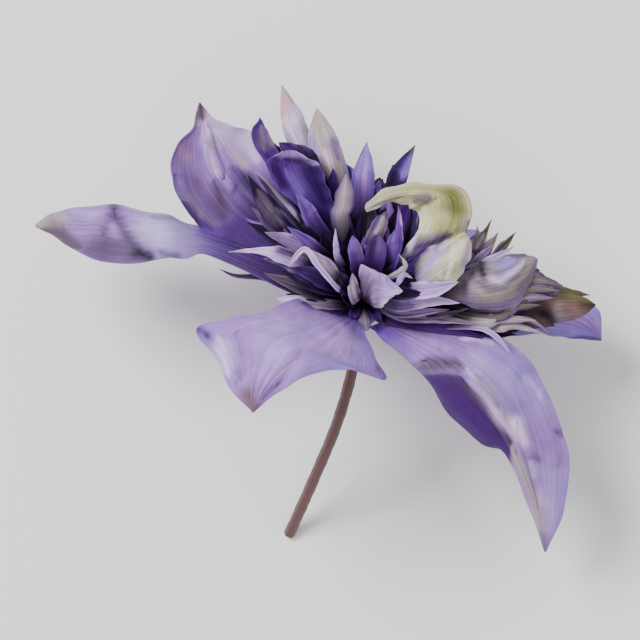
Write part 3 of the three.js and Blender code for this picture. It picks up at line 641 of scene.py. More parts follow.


# Petals of the night look are near-black, painted shade in the gaps of the head.
SHOWN = [
    # the crown of the head, from left to right
    shown_petal([(-20.4, 35, -3), (-22.5, 43, -6)], 2.0, 10, "deep", widest=0.6, daubs=[
        ((-22.4, 41), (-21.4, 36), 0.9, "mauve", 0.7), ((-20.6, 40), (-19.4, 36), 0.6, "oat", 0.3)]),
    shown_petal([(-15.6, 30, -6), (-19.4, 37.4, -8)], 2.4, 20, "night"),
    shown_petal([(-13.6, 38, -5), (-15.6, 44, -8), (-17.6, 50.2, -9)], 2.7, 183, "silver", daubs=[
        ((-17.2, 46.4), (-16.8, 43), 1.0, "blush", 0.8), ((-15.4, 45), (-14.6, 41), 1.2, "pale", 0.7),
        ((-15.8, 41), (-14.2, 37.6), 1.6, "pale", 0.8)]),
    shown_petal([(-11.6, 31, -6), (-14.8, 39, -9.4)], 3.6, 0, "deep", point=3, dark_to=0.9),
    shown_petal([(-12.4, 31, 4), (-15, 34.6, 4), (-18.2, 37.2, 3)], 2.2, 0, "deep", point=2.6,
        dark_to=0.97),
    shown_petal([(-11, 31, 4), (-12.6, 34, 4), (-14.4, 36.8, 3)], 2.4, 0, "deep", point=2.6, dark_to=0.97),
    shown_petal([(-6.6, 31, 0), (-8.6, 38, -2), (-9.8, 45, -5)], 3.6, 178, "silver", point=2.2, daubs=[
        ((-6.2, 39), (-5.2, 33), 0.9, "violet", 0.8), ((-8.4, 36), (-7, 32), 0.9, "pale", 0.7),
        ((-10.2, 43), (-9.4, 38), 1.0, "green_cream", 0.15),
        ((-11, 38), (-10, 33), 1.1, "light_violet", 0.6)]),
    shown_petal([(-6, 24, 1), (-6.2, 31.5, 1)], 2.2, 10, "deep"),
    shown_petal([(-2.6, 27, -1), (-3.8, 33, -4)], 2.6, 0, "violet"),
    shown_petal([(0.4, 27, 3), (0.8, 31.5, 2), (1.3, 37.4, -2)], 2.5, 0, "light", daubs=[
        ((2.4, 31), (2, 26), 0.9, "violet", 0.5), ((-1.4, 28), (-0.6, 24), 1.2, "violet", 0.5)]),
    shown_petal([(3.4, 24.6, 2), (4.2, 29.6, -2)], 2.4, 0, "night"),
    shown_petal([(6, 24, 0), (7.2, 29.2, -3)], 2.6, 10, "night"),
    shown_petal([(7.6, 28, -1), (9.0, 31.4, -3), (12.1, 36.8, -8)], 2.2, 12, "navy", daubs=[
        ((9.4, 34.4), (8.4, 30), 0.8, "deep_violet", 0.6), ((11, 34), (9.6, 30), 1.0, "light_violet", 0.8),
        ((12, 36.4), (11.2, 34.8), 0.8, "mauve", 0.6)]),
    # between the crown and the left fan
    shown_petal([(-13.6, 25, 6), (-17.4, 29, 6), (-21.6, 34, 2)], 2.3, 15, "deep"),
    shown_petal([(-10, 18.6, 12), (-12, 22.4, 12.6), (-14.4, 25.8, 12.6)], 1.9, 20, "violet", daubs=[
        ((-14.4, 25.6), (-12.4, 23), 0.8, "light_violet", 0.35)]),
    shown_petal([(-12.4, 18, 13), (-16, 22.4, 12.4), (-20, 26.8, 10), (-23.9, 31.2, 6)], 1.3, 25,
        "night", daubs=[
        ((-24.2, 31.4), (-19.4, 26.6), (-13.6, 19.8), 0.5, "mauve", 0.8),
        ((-24, 31.2), (-21, 28.2), 0.4, "lilac", 0.6), ((-16.2, 23), (-14, 20.4), 0.35, "lilac", 0.5)]),
    shown_petal([(-11.6, 15.8, 13), (-15.6, 20, 12), (-21, 26, 8)], 2.0, 15, "night", daubs=[
        ((-18.4, 22.6), (-14.4, 18.6), 0.4, "mauve", 0.5)]),
    shown_petal([(-14, 17.8, 10), (-19, 22.2, 8), (-24.3, 28.6, 4)], 2.2, 170, "night", daubs=[
        ((-22.6, 26.2), (-19, 22), 0.9, "dusk", 0.9), ((-21.4, 22.6), (-18, 19), 1.5, "mauve", 0.4)]),
    shown_petal([(-16, 18.6, 9), (-20.6, 22.4, 6), (-25, 30, 2)], 2.6, 10, "night", daubs=[
        ((-22, 24), (-18, 19.6), 1.5, "mauve", 0.4)]),
    shown_petal([(-15, 16.4, 9), (-19, 18.2, 8), (-24.2, 22.8, 4)], 2.4, 160, "dusk"),
    shown_petal([(-14, 14.4, 9), (-19, 16.4, 7), (-25, 19.4, 3)], 2.2, 10, "night"),
    # the left fan
    shown_petal([(-10.4, 11.6, 16.4), (-15.6, 15, 16.6), (-21.2, 17.2, 14)], 2.2, 165, "mauve",
        dark_to=0.7, daubs=[
        ((-19.6, 16.8), (-14, 14.6), 1.8, "shade", 0.8), ((-19, 17.6), (-16, 16.4), 0.5, "lilac", 0.5)]),
    shown_petal([(-9, 12.4, 17), (-12.4, 15.4, 18), (-16.2, 18.4, 17)], 1.6, 10, "violet", dark_to=0.7),
    shown_petal([(-11.4, 9.4, 16), (-16.4, 11.8, 17), (-22, 13.1, 15.6), (-29.2, 12.9, 12)], 1.7, 0,
        "lilac", widest=0.62, point=0.6, dark_to=0.62, daubs=[
        ((-27, 13.2), (-19, 13), 1.3, "pale", 0.95), ((-17.6, 13.6), (-14.6, 12.8), 1.3, "night", 0.8),
        ((-28.6, 12.8), (-25.4, 13.2), 0.7, "mauve", 0.5)]),
    shown_petal([(-12, 8.4, 15), (-17, 10.6, 15), (-21.6, 11.4, 13)], 1.3, 10, "mauve", dark_to=0.8, daubs=[
        ((-20.6, 11), (-16, 9.4), 0.7, "deep_violet", 0.7)]),
    shown_petal([(-6, 5.8, 17), (-11, 7.9, 20), (-15.6, 9.4, 19)], 2.0, 0, "deep", dark_to=0.8, daubs=[
        ((-14, 9), (-9, 7.2), 1.4, "night", 0.6)]),
    shown_petal([(-6, 4.8, 16), (-12, 6.2, 18.4), (-17.6, 8.6, 17)], 1.8, 5, "night", daubs=[
        ((-14.6, 7.6), (-10.6, 6.8), 0.7, "deep_violet", 0.9)]),
    shown_petal([(-5.4, 7, 18), (-8, 10.2, 20.4), (-11.8, 13.6, 20)], 1.7, 10, "mauve", dark_to=0.6, daubs=[
        ((-11.4, 13), (-8, 9.6), 0.7, "oat", 0.7), ((-9.6, 12.4), (-8, 10.6), 0.4, "lilac", 0.6)]),
    shown_petal([(-4.6, 4.4, 18), (-9, 9.2, 22), (-12.5, 13.4, 22.6), (-15.9, 9.8, 23)], 0.62, 0, "lilac",
        widest=0.75, point=3, dark_to=0.3, daubs=[
        ((-13.4, 13.4), (-11.6, 12.6), 1.0, "pale", 1)]),
    shown_petal([(-8, 3.6, 13), (-15, 5.8, 14.4), (-21.4, 8.2, 11)], 1.7, 10, "dusk", dark_to=0.9),
    shown_petal([(-8, 2.8, 12), (-14, 4.2, 12.6), (-20.2, 7.2, 9)], 1.3, 10, "night"),
    shown_petal([(-4.6, 1.2, 12), (-11, 1.8, 13.4), (-18.6, 2.5, 12)], 1.25, 10, "mauve", dark_to=0.75,
        widest=0.8, point=2, daubs=[
        ((-18.6, 2.4), (-14, 2.4), 1.4, "pale", 1), ((-12.6, 2.2), (-7, 1.8), 0.5, "mauve", 0.9)]),
    shown_petal([(-8, 1.8, 9), (-13, 2.8, 9), (-16.6, 3.6, 7)], 1.3, 10, "night"),
    shown_petal([(-14, 5.2, 7), (-22, 7.2, 5), (-27.6, 7.6, 3.4), (-31.4, 9.2, 2)], 0.7, 30, "dusk",
        frill=0.05, dents=0.05),
    # in the cleft between the two sides, near-black petals that stand for its shade
    shown_petal([(-7, 13, 10), (-11.5, 20.5, 11)], 2.8, 10, "night"),
    shown_petal([(-6.4, 12, 12), (-8.6, 17.4, 14)], 2.4, 0, "night"),
    shown_petal([(-4.2, 12, 11), (-6.6, 18.4, 13)], 2.2, -20, "night"),
    shown_petal([(-2.4, 12, 12), (-2.2, 19.5, 15)], 2.4, 10, "night"),
    shown_petal([(-3, 5, 17), (-6.8, 9.6, 17)], 2.2, 10, "night"),
    shown_petal([(-4.4, 7, 17), (-8, 12, 17)], 2.2, 10, "night"),
    shown_petal([(-4.6, 10.6, 18.6), (-5.5, 14, 21.6), (-5.7, 17.9, 21.6)], 0.75, 180, "lilac",
        dark_to=0.6),
    shown_petal([(-4.4, 19, 15.6), (-3.8, 24, 16), (-3.3, 30.2, 11)], 2.2, 180, "grey", widest=0.66,
        point=2.6, dark_to=0.5),
    # the middle
    shown_petal([(2.2, 14, 19), (3.8, 18.4, 20), (5.6, 21.8, 17.6)], 1.8, 175, "dusk", point=3,
        dark_to=0.3, daubs=[
        ((2.8, 16.8), (5.2, 20.8), 0.7, "oat", 0.8), ((2.2, 17.6), (4.4, 21), 0.6, "deep_violet", 0.8)]),
    shown_petal([(4.6, 12, 14), (6.8, 17.4, 15.6), (8.0, 22.8, 13)], 2.6, 0, "night"),
    shown_petal([(1.2, 14, 12), (1.6, 20, 12), (2.0, 24, 9)], 2.6, 0, "night"),
    shown_petal([(5.4, 9.4, 17), (7.0, 13, 20), (7.6, 17.8, 19)], 2.0, -12, "violet", point=2.6, widest=0.6,
        dark_to=0.8, daubs=[
        ((8.2, 16), (8.6, 12.4), 0.7, "deep_violet", 0.9),
        ((7.2, 17.2), (6.4, 15), 0.5, "light_violet", 0.5)]),
    shown_petal([(-0.6, 8.6, 17.4), (-1.2, 12.2, 20.4), (-1.9, 16.4, 19.4)], 1.7, 12, "violet", point=2.6,
        widest=0.6, dark_to=0.8, daubs=[
        ((-1.8, 15.6), (-1.2, 13.6), 0.6, "light_violet", 0.5), ((-0.2, 15), (0, 12), 0.8, "dusk", 0.8)]),
    shown_petal([(2.2, 9, 18.6), (3.2, 12.6, 21.6), (3.6, 17, 20.6)], 2.3, 0, "deep", point=2.6, widest=0.6,
        dark_to=0.7, daubs=[
        ((3.8, 16.4), (3.6, 13), 1.0, "mauve", 0.25), ((2.2, 14.6), (2, 12), 0.9, "night", 0.6)]),
    shown_petal([(0.2, 8.4, 16), (0.8, 12, 18.6), (0.6, 16.2, 18)], 1.4, 5, "deep", point=2.2, widest=0.6,
        dark_to=0.7, daubs=[
        ((0.6, 15.8), (0.8, 13.6), 0.5, "light_violet", 0.6)]),
    shown_petal([(4.2, 9, 16), (5.4, 12.8, 18.4), (5.8, 18.4, 17.6)], 1.4, -5, "deep", point=2.2,
        widest=0.6, dark_to=0.7, daubs=[
        ((5.8, 17.8), (5.4, 15.6), 0.5, "lilac", 0.4)]),
    shown_petal([(7.2, 12, 17), (8.4, 17.6, 19), (8.2, 23, 17.8)], 1.0, 0, "violet", daubs=[
        ((7.8, 21.6), (7.8, 16.6), 0.5, "bright_violet", 0.9),
        ((9.1, 22.6), (9.3, 18.4), 0.5, "lilac", 0.9)]),
    shown_petal([(8.6, 12, 14), (10.6, 17.6, 16), (11.2, 23, 14)], 1.0, 0, "night"),
    shown_petal([(7, 6.4, 18), (10.6, 6.8, 18.6), (13.4, 7.6, 18)], 1.9, 0, "night"),
    shown_petal([(6.4, 8, 18), (10.4, 9.8, 18), (13.0, 12.4, 17)], 1.7, 0, "deep", dark_to=0.6),
    shown_petal([(7, 4.4, 19), (10.6, 3.8, 20), (14, 3.6, 20)], 1.3, 0, "night"),
    shown_petal([(6.6, 7.4, 19), (9.6, 9.6, 21.4), (8.3, 12.2, 21.4)], 0.7, 180, "silver", dark_to=0.4),
    shown_petal([(7, 5.4, 20), (9.4, 7.8, 22), (11.2, 7.0, 22)], 0.6, 180, "lilac", dark_to=0.4),
    shown_petal([(-0.9, 2.2, 17), (-1.7, 5, 20), (-1.9, 8.2, 19)], 1.35, 170, "mauve", point=2.6,
        dark_to=0.4),
    shown_petal([(-2.6, 2, 14), (-4.2, 4.4, 17), (-4.6, 6.8, 18)], 1.5, 10, "night"),
    shown_petal([(0.8, -1.8, 9), (1.3, -4.6, 8.6)], 1.5, 180, "grey", point=3, dark_to=0.5, daubs=[
        ((0.6, -2.4), (1.8, -3.4), 1.0, "violet", 0.35)]),
    shown_petal([(-1.6, -0.6, 9), (-1.4, -2.4, 9)], 1.2, 0, "deep"),
    shown_petal([(3, -0.6, 9), (4.6, -3.0, 8)], 1.2, 0, "deep"),
    # under the pale cup and out to the right
    shown_petal([(9.6, 4.2, 17), (16.4, 4.8, 21), (21.4, 6.2, 21)], 2.0, 0, "lilac", dark_to=0.6),
    shown_petal([(8, 1.4, 13), (14.6, 2.2, 17.6), (21.6, 1.6, 18)], 1.7, 5, "lilac", dark_to=0.45, daubs=[
        ((11, 2), (19, 1.8), 0.9, "pale", 0.9), ((13, 0.6), (20, 0.6), 0.4, "mauve", 0.5)]),
    shown_petal([(7, -0.4, 10), (13, -0.4, 13.6), (19.6, 0.2, 14)], 1.1, 5, "mauve", dark_to=0.3, daubs=[
        ((8, -0.4), (17, 0), 0.9, "lilac", 0.5)]),
    shown_petal([(9, -1.2, 9.6), (17, -1.8, 12), (26, -3.2, 12.4)], 1.2, 5, "mauve", dark_to=0.3),
    shown_petal([(15, -0.8, 12), (19, -0.8, 14), (23.6, 0.4, 15)], 0.7, 0, "dusk", daubs=[
        ((19, -1.2), (23, -0.2), 0.5, "night", 0.7)]),
    shown_petal([(6, -1.6, 7), (17, -3.8, 9.6), (29, -6, 9)], 1.3, 5, "deep"),
    shown_petal([(8, -2.2, 7), (18, -4.2, 9), (27, -6.2, 9)], 1.0, 5, "deep"),
    shown_petal([(15, -3.0, 8), (25, -3.9, 11.6), (29, -5.2, 12), (33.2, -9.6, 10)], 0.55, 0, "lilac",
        widest=0.8, dark_to=0.72),
    # the small upper ones on the right
    shown_petal([(19, 12.6, 7), (22.4, 17, 6), (23.6, 21.4, 3)], 1.1, 20, "dusk", daubs=[
        ((23.6, 21), (22.6, 18), 0.7, "mauve", 0.7)]),
    shown_petal([(20, 9, 10), (23.8, 12.6, 9), (24.8, 16.6, 6)], 1.5, 0, "mauve", dark_to=0.7, daubs=[
        ((24.8, 16), (24.2, 13.6), 0.6, "oat", 0.5)]),
    shown_petal([(21, 10.4, 7), (25, 15, 6), (25.8, 18.6, 4)], 1.6, 10, "dusk", dark_to=0.3, daubs=[
        ((25.6, 17.6), (24.4, 14), 0.9, "oat", 0.7)]),
    shown_petal([(23, 11, 8), (26.4, 15.6, 7.6), (28.9, 20.1, 4)], 1.1, 10, "dusk", dark_to=0.3, daubs=[
        ((28.8, 20), (26.8, 16), 0.9, "olive", 0.8), ((26.8, 17), (25.2, 13.6), 0.6, "oat", 0.6)]),
    shown_petal([(24, 9.4, 8), (27.6, 13.4, 7), (30.4, 17.2, 3)], 1.6, 0, "dusk", dark_to=0.3, daubs=[
        ((27, 13), (30, 16.6), 0.8, "oat", 0.7)]),
    shown_petal([(26, 10, 8), (31, 13.8, 6.6), (34.3, 17.3, 3)], 1.2, 0, "dusk", daubs=[
        ((34, 17), (31.6, 14.6), 1.0, "olive", 0.8)]),
    shown_petal([(22, 8, 10), (26.4, 11.6, 10), (29.4, 14.6, 7)], 1.4, 0, "mauve", dark_to=0.3, daubs=[
        ((29, 14.4), (26, 11.4), 0.7, "lilac", 0.6)]),
    shown_petal([(23, 8.4, 11), (28.6, 11, 14), (33.6, 14, 11)], 1.3, 0, "mauve", dark_to=0.6, daubs=[
        ((27, 10.6), (33.2, 13.8), 0.8, "pale", 0.8)]),
    shown_petal([(20, 5, 10), (24, 8, 14), (27.6, 9.0, 14.6)], 1.5, 10, "night"),
    # the right fan
    shown_petal([(29, 7.6, 8), (35, 9.2, 8), (39.6, 8.8, 5)], 2.2, 180, "dusk", point=2.4),
    shown_petal([(30, 5.6, 9), (36.4, 7.8, 9), (42.2, 6.2, 6)], 1.9, 178, "striped", point=2.4),
    shown_petal([(32, 3.6, 9), (38.6, 6.4, 8.6), (44.8, 5.4, 4)], 1.5, 180, "striped", point=2.2),
    shown_petal([(31, 1.4, 10), (37.4, 4.6, 10), (43.8, 4.4, 6)], 1.4, 180, "striped", point=2.2),
    shown_petal([(29, -0.2, 11), (36, 2.6, 10.6), (42.4, 2.8, 7)], 1.3, 180, "grey", point=2.2),
    shown_petal([(27, -1.4, 11), (34.4, 0.8, 11), (39.6, 1.2, 8)], 1.2, 180, "striped", point=2.2),
    shown_petal([(24, -2.4, 10.6), (31, -1.8, 11), (38.6, -2.2, 9)], 1.4, 175, "silver", dark_to=0.5),
    shown_petal([(27, -3.4, 9), (34, -3.4, 9), (41, -5.4, 5)], 1.0, 175, "silver"),
    shown_petal([(30, -2.2, 8), (37, -2.0, 7), (42.4, -5.6, 3)], 0.8, 175, "grey"),
    shown_petal([(28, -2.4, 5), (36, -2.4, 3), (43, -3.4, 0)], 2.4, 180, "night"),
    shown_petal([(26, -4.4, 8), (34.4, -5.4, 6)], 1.1, 0, "night"),
    shown_petal([(38, 3.6, 3), (44.6, 4.0, -1), (51.0, 3.4, -5)], 1.5, 180, "dusk", daubs=[
        ((45, 3.9), (51, 3.2), 1.5, "olive", 0.9)]),
    shown_petal([(36, -0.6, 4), (44.4, 0.4, 0.6), (52.2, 1.2, -4)], 3.2, 180, "dry", widest=0.6,
        point=3.4, daubs=[
        ((49, 1.6), (51.6, 1.6), 0.9, "night", 0.7), ((44, 3), (48, 3.4), (51.4, 2.4), 1.4, "olive", 0.7),
        ((44.6, 0.6), (47.6, 0), 1.8, "blush", 0.12), ((45, -2), (49, -1.6), 1.4, "mauve", 0.5),
        ((42.6, -3), (44, 0.6), 1.2, "oat", 0.4),
        ((39.4, -0.4), (41.2, -1.4), (43, -4.4), 1.4, "night", 1)]),
]

# The broad petals of the head, by their margins and midribs.
SPOON = {  # the large dished violet petal at the upper left
    "left": [
        (-3.5, 8, 5), (-10, 19.3, 9.6), (-15.6, 24.6, 12), (-19.4, 29.2, 13), (-20.2, 33, 12),
        (-17.6, 35, 10),
    ],
    "middle": [
        (-2.5, 8.5, 4), (-7.6, 19.6, 7), (-11.4, 24.8, 8), (-14.4, 29.2, 8), (-15.8, 32.6, 8.4),
        (-16, 35.3, 10),
    ],
    "right": [
        (-1.5, 9, 5), (-5.8, 19.6, 9), (-6.4, 24.6, 10.6), (-7.8, 29, 11.6), (-10, 32.6, 11.4),
        (-14.4, 35.2, 10),
    ],
    "face": "violet",
    "back": "mauve",
    "frill": 0.35,
    # Painted shade in deep violet and night on the right half, on the left edge and under the rolled rim.
    "daubs": [
        ((-17.4, 32.6), (-13.4, 25), 2.6, "violet", 0.8),
        ((-16.4, 31), (-13.2, 25), 1.3, "light_violet", 0.5),
        ((-11, 31.4), (-8.4, 24.6), 2.6, "deep_violet", 1),
        ((-10.4, 31), (-8.4, 24.6), 1.9, "night", 0.55),
        ((-19.6, 31.6), (-17.6, 28), 1.4, "deep_violet", 1),
        ((-18.8, 34), (-13.6, 34.8), (-9.4, 32.2), 0.9, "lilac", 0.6),
        ((-17, 33.2), (-13, 33.2), (-10.4, 31.4), 0.6, "night", 0.7),
        ((-10.6, 22.6), (-6.4, 15), 2.2, "deep_violet", 0.9),
    ],
}

PALE_CUP = {  # still pale and curled over the middle
    "left": [
        (4, 7, 8), (7.6, 10, 14), (10.2, 13.6, 17), (12.0, 17.8, 18.6), (12.2, 21.6, 17.2),
        (10.6, 23.6, 17.4), (6, 23.4, 18.2), (1.2, 21.6, 19),
    ],
    "middle": [
        (5, 6, 8), (10, 9.6, 15), (14.6, 14.6, 19.4), (17.6, 19.4, 20), (17.6, 24.6, 17.4),
        (12, 26.0, 18.6), (6.4, 25.0, 19.4), (0.8, 22.5, 19.4),
    ],
    "right": [
        (6.5, 5, 8), (14, 8.6, 14), (20.6, 13.6, 17), (23.4, 18.6, 16.6), (22.9, 25.6, 13),
        (14.6, 28.4, 14.6), (7, 27, 17), (1.2, 23.6, 19),
    ],
    "face": "cream",
    "back": "cream",
    "frill": 0.5,
    "dents": 0.6,
    "creases": [
        ((12.6, 22.4), (12.8, 17), 1.1, 0.8),
        ((17, 23.6), (20.6, 18.4), 1.6, -0.7),
        ((10.8, 23.4), (16, 24.8), 0.8, -0.9),
        ((3, 22.8), (12, 26.4), 0.7, 0.4),
    ],
    # Painted shade in dusk, mauve and deep violet under the curled rim and along the lower edge, and a
    # painted highlight in cream on the body.
    "daubs": [
        ((14, 19), (21, 18.4), 3.0, "green_cream", 0.8),
        ((13.4, 21.6), (14.2, 17.6), 1.3, "cream", 0.85),
        ((20, 25.6), (21.4, 22), 2.0, "olive", 0.85),
        ((18, 23), (19.6, 22.4), 0.9, "olive", 0.5),
        ((11, 23.4), (15.6, 24.8), 0.7, "dusk", 0.85),
        ((11.6, 24.2), (14.6, 24.8), 0.9, "mauve", 0.7),
        ((0.6, 22.6), (4.4, 23.6), 1.5, "oat", 0.9),
        ((4, 23.4), (10, 24.6), 1.0, "mauve", 0.35),
        ((4.6, 25.8), (10, 27.6), 0.8, "oat", 0.6),
        ((9.6, 15.4), (14, 15.6), (19, 17), 0.9, "mauve", 0.75),
        ((9, 12.4), (12, 14), (16, 14.8), (19.8, 16.6), 0.8, "deep_violet", 0.9),
        ((10.6, 11.4), (13.8, 13), 1.2, "deep_violet", 1),
        ((7.6, 10), (9.6, 12.6), (11.4, 16), (12.2, 19), 0.65, "pale", 0.9),
        ((23.6, 19.6), (23.2, 16.6), 0.6, "dusk", 0.9),
        ((22.6, 20), (21.8, 16.4), 0.8, "oat", 0.6),
    ],
}

PALE_LOBE = {  # below it, striped cream and lilac
    "left": [
        (5, 5.4, 9), (9.6, 7.6, 16), (12.4, 11.6, 19), (16.6, 14.4, 20.6), (22.6, 17.2, 20),
    ],
    "middle": [
        (5.5, 4.6, 9), (12, 5.8, 18), (16.4, 8.8, 22), (20.6, 12, 22.4), (23.6, 16, 20.2),
    ],
    "right": [
        (6, 4, 9), (14, 3.8, 17), (19.6, 5.6, 20.4), (23.2, 9.6, 20.6), (24.2, 14.6, 20),
    ],
    "face": "cream",
    "back": "mauve",
    "frill": 0.35,
    "dents": 0.35,
    "creases": [
        ((19.6, 14.4), (18.4, 7), 0.8, 0.5),
        ((16.6, 13), (15.4, 6), 1.2, -0.5),
    ],
    "daubs": [
        ((11, 10.5), (12.6, 12.4), (14, 13.2), 1.5, "deep_violet", 1),
        ((11.4, 9.6), (12.4, 6.2), 1.3, "deep_violet", 1),
        ((13.8, 8.6), (16.4, 12.2), (19.4, 15.4), 1.4, "lilac", 0.9),
        ((14.4, 6.4), (18, 5.4), 1.5, "lilac", 0.8),
        ((15.8, 12.6), (18.6, 15.2), 0.5, "shade", 0.7),
        ((17, 6.8), (20, 11.4), (22.4, 15.6), 1.8, "cream", 0.95),
        ((17.4, 8), (19.4, 11), 0.5, "oat", 0.6),
        ((21.6, 7), (23, 11), (23.8, 15.4), 0.7, "lilac", 0.7),
        ((19.4, 8.2), (21, 11.4), 0.3, "dusk", 0.4),
    ],
}

FRONT_FOLD = {  # the small pinkish petal in front, folded to a corner
    "left": [
        (0.4, 2.4, 14), (-0.4, 6, 21), (-0.2, 10.0, 23), (2.6, 8.7, 24), (6.4, 7.0, 24.8), (8.9, 4.3, 25.4),
    ],
    "middle": [
        (1.0, 1.9, 14), (1.6, 4.5, 22.6), (2.8, 6.4, 25), (5.0, 5.4, 26), (7.2, 4.8, 26), (9.0, 4.2, 25.4),
    ],
    "right": [
        (1.8, 1.4, 14), (2.4, 1.0, 21), (4.2, 0.4, 24), (5.6, 1.8, 25), (7.4, 3.2, 25.6), (8.9, 4.0, 25.4),
    ],
    "face": "lilac",
    "back": "mauve",
    "frill": 0.2,
    "dents": 0.3,
    "creases": [
        ((3.6, 7.4), (3.2, 1.6), 0.7, -0.6),
        ((5.6, 6.8), (7.6, 4.4), 0.7, 0.4),
    ],
    "daubs": [
        ((4.8, 1.2), (8.6, 4), 0.8, "pale", 1),
        ((0.2, 9.6), (3, 8), 0.8, "lilac", 0.5),
        ((0.6, 8.6), (3, 7.4), 1.4, "shade", 0.3),
        ((2.8, 6), (3.6, 3.4), 1.1, "mauve", 0.7),
        ((0.6, 6.8), (1.2, 4), 0.8, "mauve", 0.8),
        ((5, 7.4), (7.8, 5.4), 0.6, "light_violet", 0.5),
    ],
}

STRIPED_OVAL = {  # the large striped petal curled in on the right
    "left": [
        (14, 5.6, 8), (20.6, 8, 12), (25.6, 10.6, 13.4), (31.5, 12.0, 12), (36, 12.6, 9), (38.7, 11.6, 6),
    ],
    "middle": [
        (14, 4.5, 9), (20.6, 4.6, 15), (26.4, 5.4, 18), (33, 7.0, 16), (37, 9.3, 11), (38.9, 11.4, 6.2),
    ],
    "right": [
        (14, 3.4, 8), (20.8, 2.2, 13), (26.6, 0.0, 15), (33.4, 1.0, 13), (37.4, 5.5, 9), (39.1, 11.1, 6),
    ],
    "face": "silver",
    "back": "deep",
    "frill": 0.2,
    "dark_to": 0.35,
    "daubs": [
        ((25, 5), (36, 8), 6.0, "mauve", 0.55),
        ((24.2, 4.8), (27, 3.2), (31, 3.4), (34.6, 5.8), (36.8, 9), 0.8, "green_cream", 0.45),
        ((24.2, 4.4), (27, 2.6), (31, 2.6), (35, 5), (37.2, 8.6), 0.7, "mauve", 0.5),
        ((25, 6.2), (28, 5), (31.6, 5.2), (34.4, 7.4), (36, 10), 0.8, "dusk", 0.5),
        ((27.4, 7.2), (30.6, 6.8), (33.6, 8.6), (35.6, 11), 0.7, "pale", 0.85),
        ((28, 8.8), (31, 8.4), (33.6, 10.2), (34.6, 12), 0.7, "shade", 0.6),
        ((30, 10), (32, 10.2), (33.6, 12), 0.8, "blue_lavender", 0.9),
        (
            (22.6, 6), (23.4, 2.8), (26.6, 0.8), (31, 0.8), (34.6, 3), (37.4, 7), (38.4, 10.6), 1.2,
            "deep_violet", 0.55,
        ),
        ((24, 3.6), (26.6, 1.6), (31, 1.4), (34, 3), 0.7, "mauve", 0.6),
        ((26.6, 9.2), (26.8, 8), 1.2, "night", 1),
        ((25, 9), (24.4, 7.6), 1.0, "dusk", 0.8),
        ((32, 12.2), (38, 12.4), (38.8, 11), 0.6, "dusk", 0.9),
    ],
}

BROAD_INNER = [SPOON, PALE_CUP, PALE_LOBE, FRONT_FOLD, STRIPED_OVAL]

# Those behind and underneath, in rings: how many, angle from the axis, length and half width.
RINGS = [(12, 80, 30, 3.6), (11, 62, 28, 3.6), (10, 42, 25, 3.4), (7, 22, 21, 3.0)]
RING_START, RING_SPAN = -172, 164  # degrees round the axis, along the side away from the eye
RING_SEED = 20
LOWEST_TIP = 9.0  # millimetres above the surface, where the tips of the rings are held up


def draws(seed):
    """A repeatable stream of numbers between 0 and 1."""
    while True:
        seed = (seed * 16807) % 2147483647
        yield seed / 2147483647


def ring_petals():
    """The petals of the rings, each a little off its even place."""
    draw = draws(RING_SEED)
    made = []
    for ring, (count, angle, length, half_width) in enumerate(RINGS):
        for i in range(count):
            place = (i + 0.5 * (ring % 2)) / (count - 0.5)
            turn = RING_START + RING_SPAN * place + 8 * (next(draw) - 0.5)
            tilt = math.radians(angle + 10 * (next(draw) - 0.5))
            reach = length * (0.9 + 0.2 * next(draw))
            outward = around(turn)
            tip = CORE + AXIS * reach * math.cos(tilt) + outward * reach * math.sin(tilt)
            lowest = LOWEST_TIP - RECEPTACLE_HEIGHT
            if tip[2] < lowest:
                tip[2] = lowest + 0.2 * (tip[2] - lowest)
            middle = (CORE + tip) / 2 + outward * 4
            side = np.cross(AXIS, away_from_axis(middle))
            look = ("violet", "deep", "light")[(i + ring) % 3]
            twist = 30 * (next(draw) - 0.5)
            made.append(inner_petal([middle, tip], half_width, side, look, "silver", twist=twist))
    return made


# ---- Petal colours ------------------------------------------------------------------------------
# A look is the colour of the blade, then of its margins and of its middle bar with their shares.

LOOKS = {
    "night": ("night", "deep_violet", 0.45, "night", 0),
    "deep": ("deep_violet", "violet", 0.7, "violet", 0.35),
    "navy": ("navy", "violet", 0.4, "deep_violet", 0.4),
    "violet": ("violet", "light_violet", 0.5, "light_violet", 0.2),
    "light": ("light_violet", "shade", 0.6, "lavender", 0.8),
    "lilac": ("lilac", "pale", 0.6, "mauve", 0.25),
    "mauve": ("mauve", "lilac", 0.4, "oat", 0.3),
    "dusk": ("dusk", "mauve", 0.6, "mauve", 0.4),
    "grey": ("mauve", "deep_violet", 0.6, "oat", 0.6),
    "silver": ("oat", "light_violet", 0.5, "oat", 1),
    "striped": ("mauve", "deep_violet", 0.8, "green_cream", 0.6),
    "cream": ("green_cream", "cream", 0.5, "cream", 0.3),
    "dry": ("dry_brown", "mauve", 0.3, "dry_brown", 0),
}
UNROOTED = ("cream",)  # looks that stay pale down to the root


def mix(a, b, share):
    """Colour a, with that share of colour b."""
    share = np.asarray(share, float)[..., None]
    return np.asarray(a) * (1 - share) + np.asarray(b) * share


def look_wash(look, dark_to, s, t, paint):
    """Colour of an inner petal's side at each s and t, darkest at the root and clear of it by dark_to."""
    body, margin, margin_share, bar, bar_share = LOOKS[look]
    colour = mix(paint[body], paint[bar], bar_share * np.exp(-((t / 0.35) ** 2)))
    if look == "striped":
        colour = mix(colour, paint["dusk"], 0.7 * (0.5 + 0.5 * np.cos(13 * t)))
    colour = mix(colour, paint[margin], margin_share * smooth(0.6, 0.95, np.abs(t)))
    # painted shade: each petal darkens to night towards its root, deep in the head
    root_share = 0.5 if look in UNROOTED else 0.97
    return mix(colour, paint["night"], root_share * smooth(dark_to, 0.3 * dark_to, s))


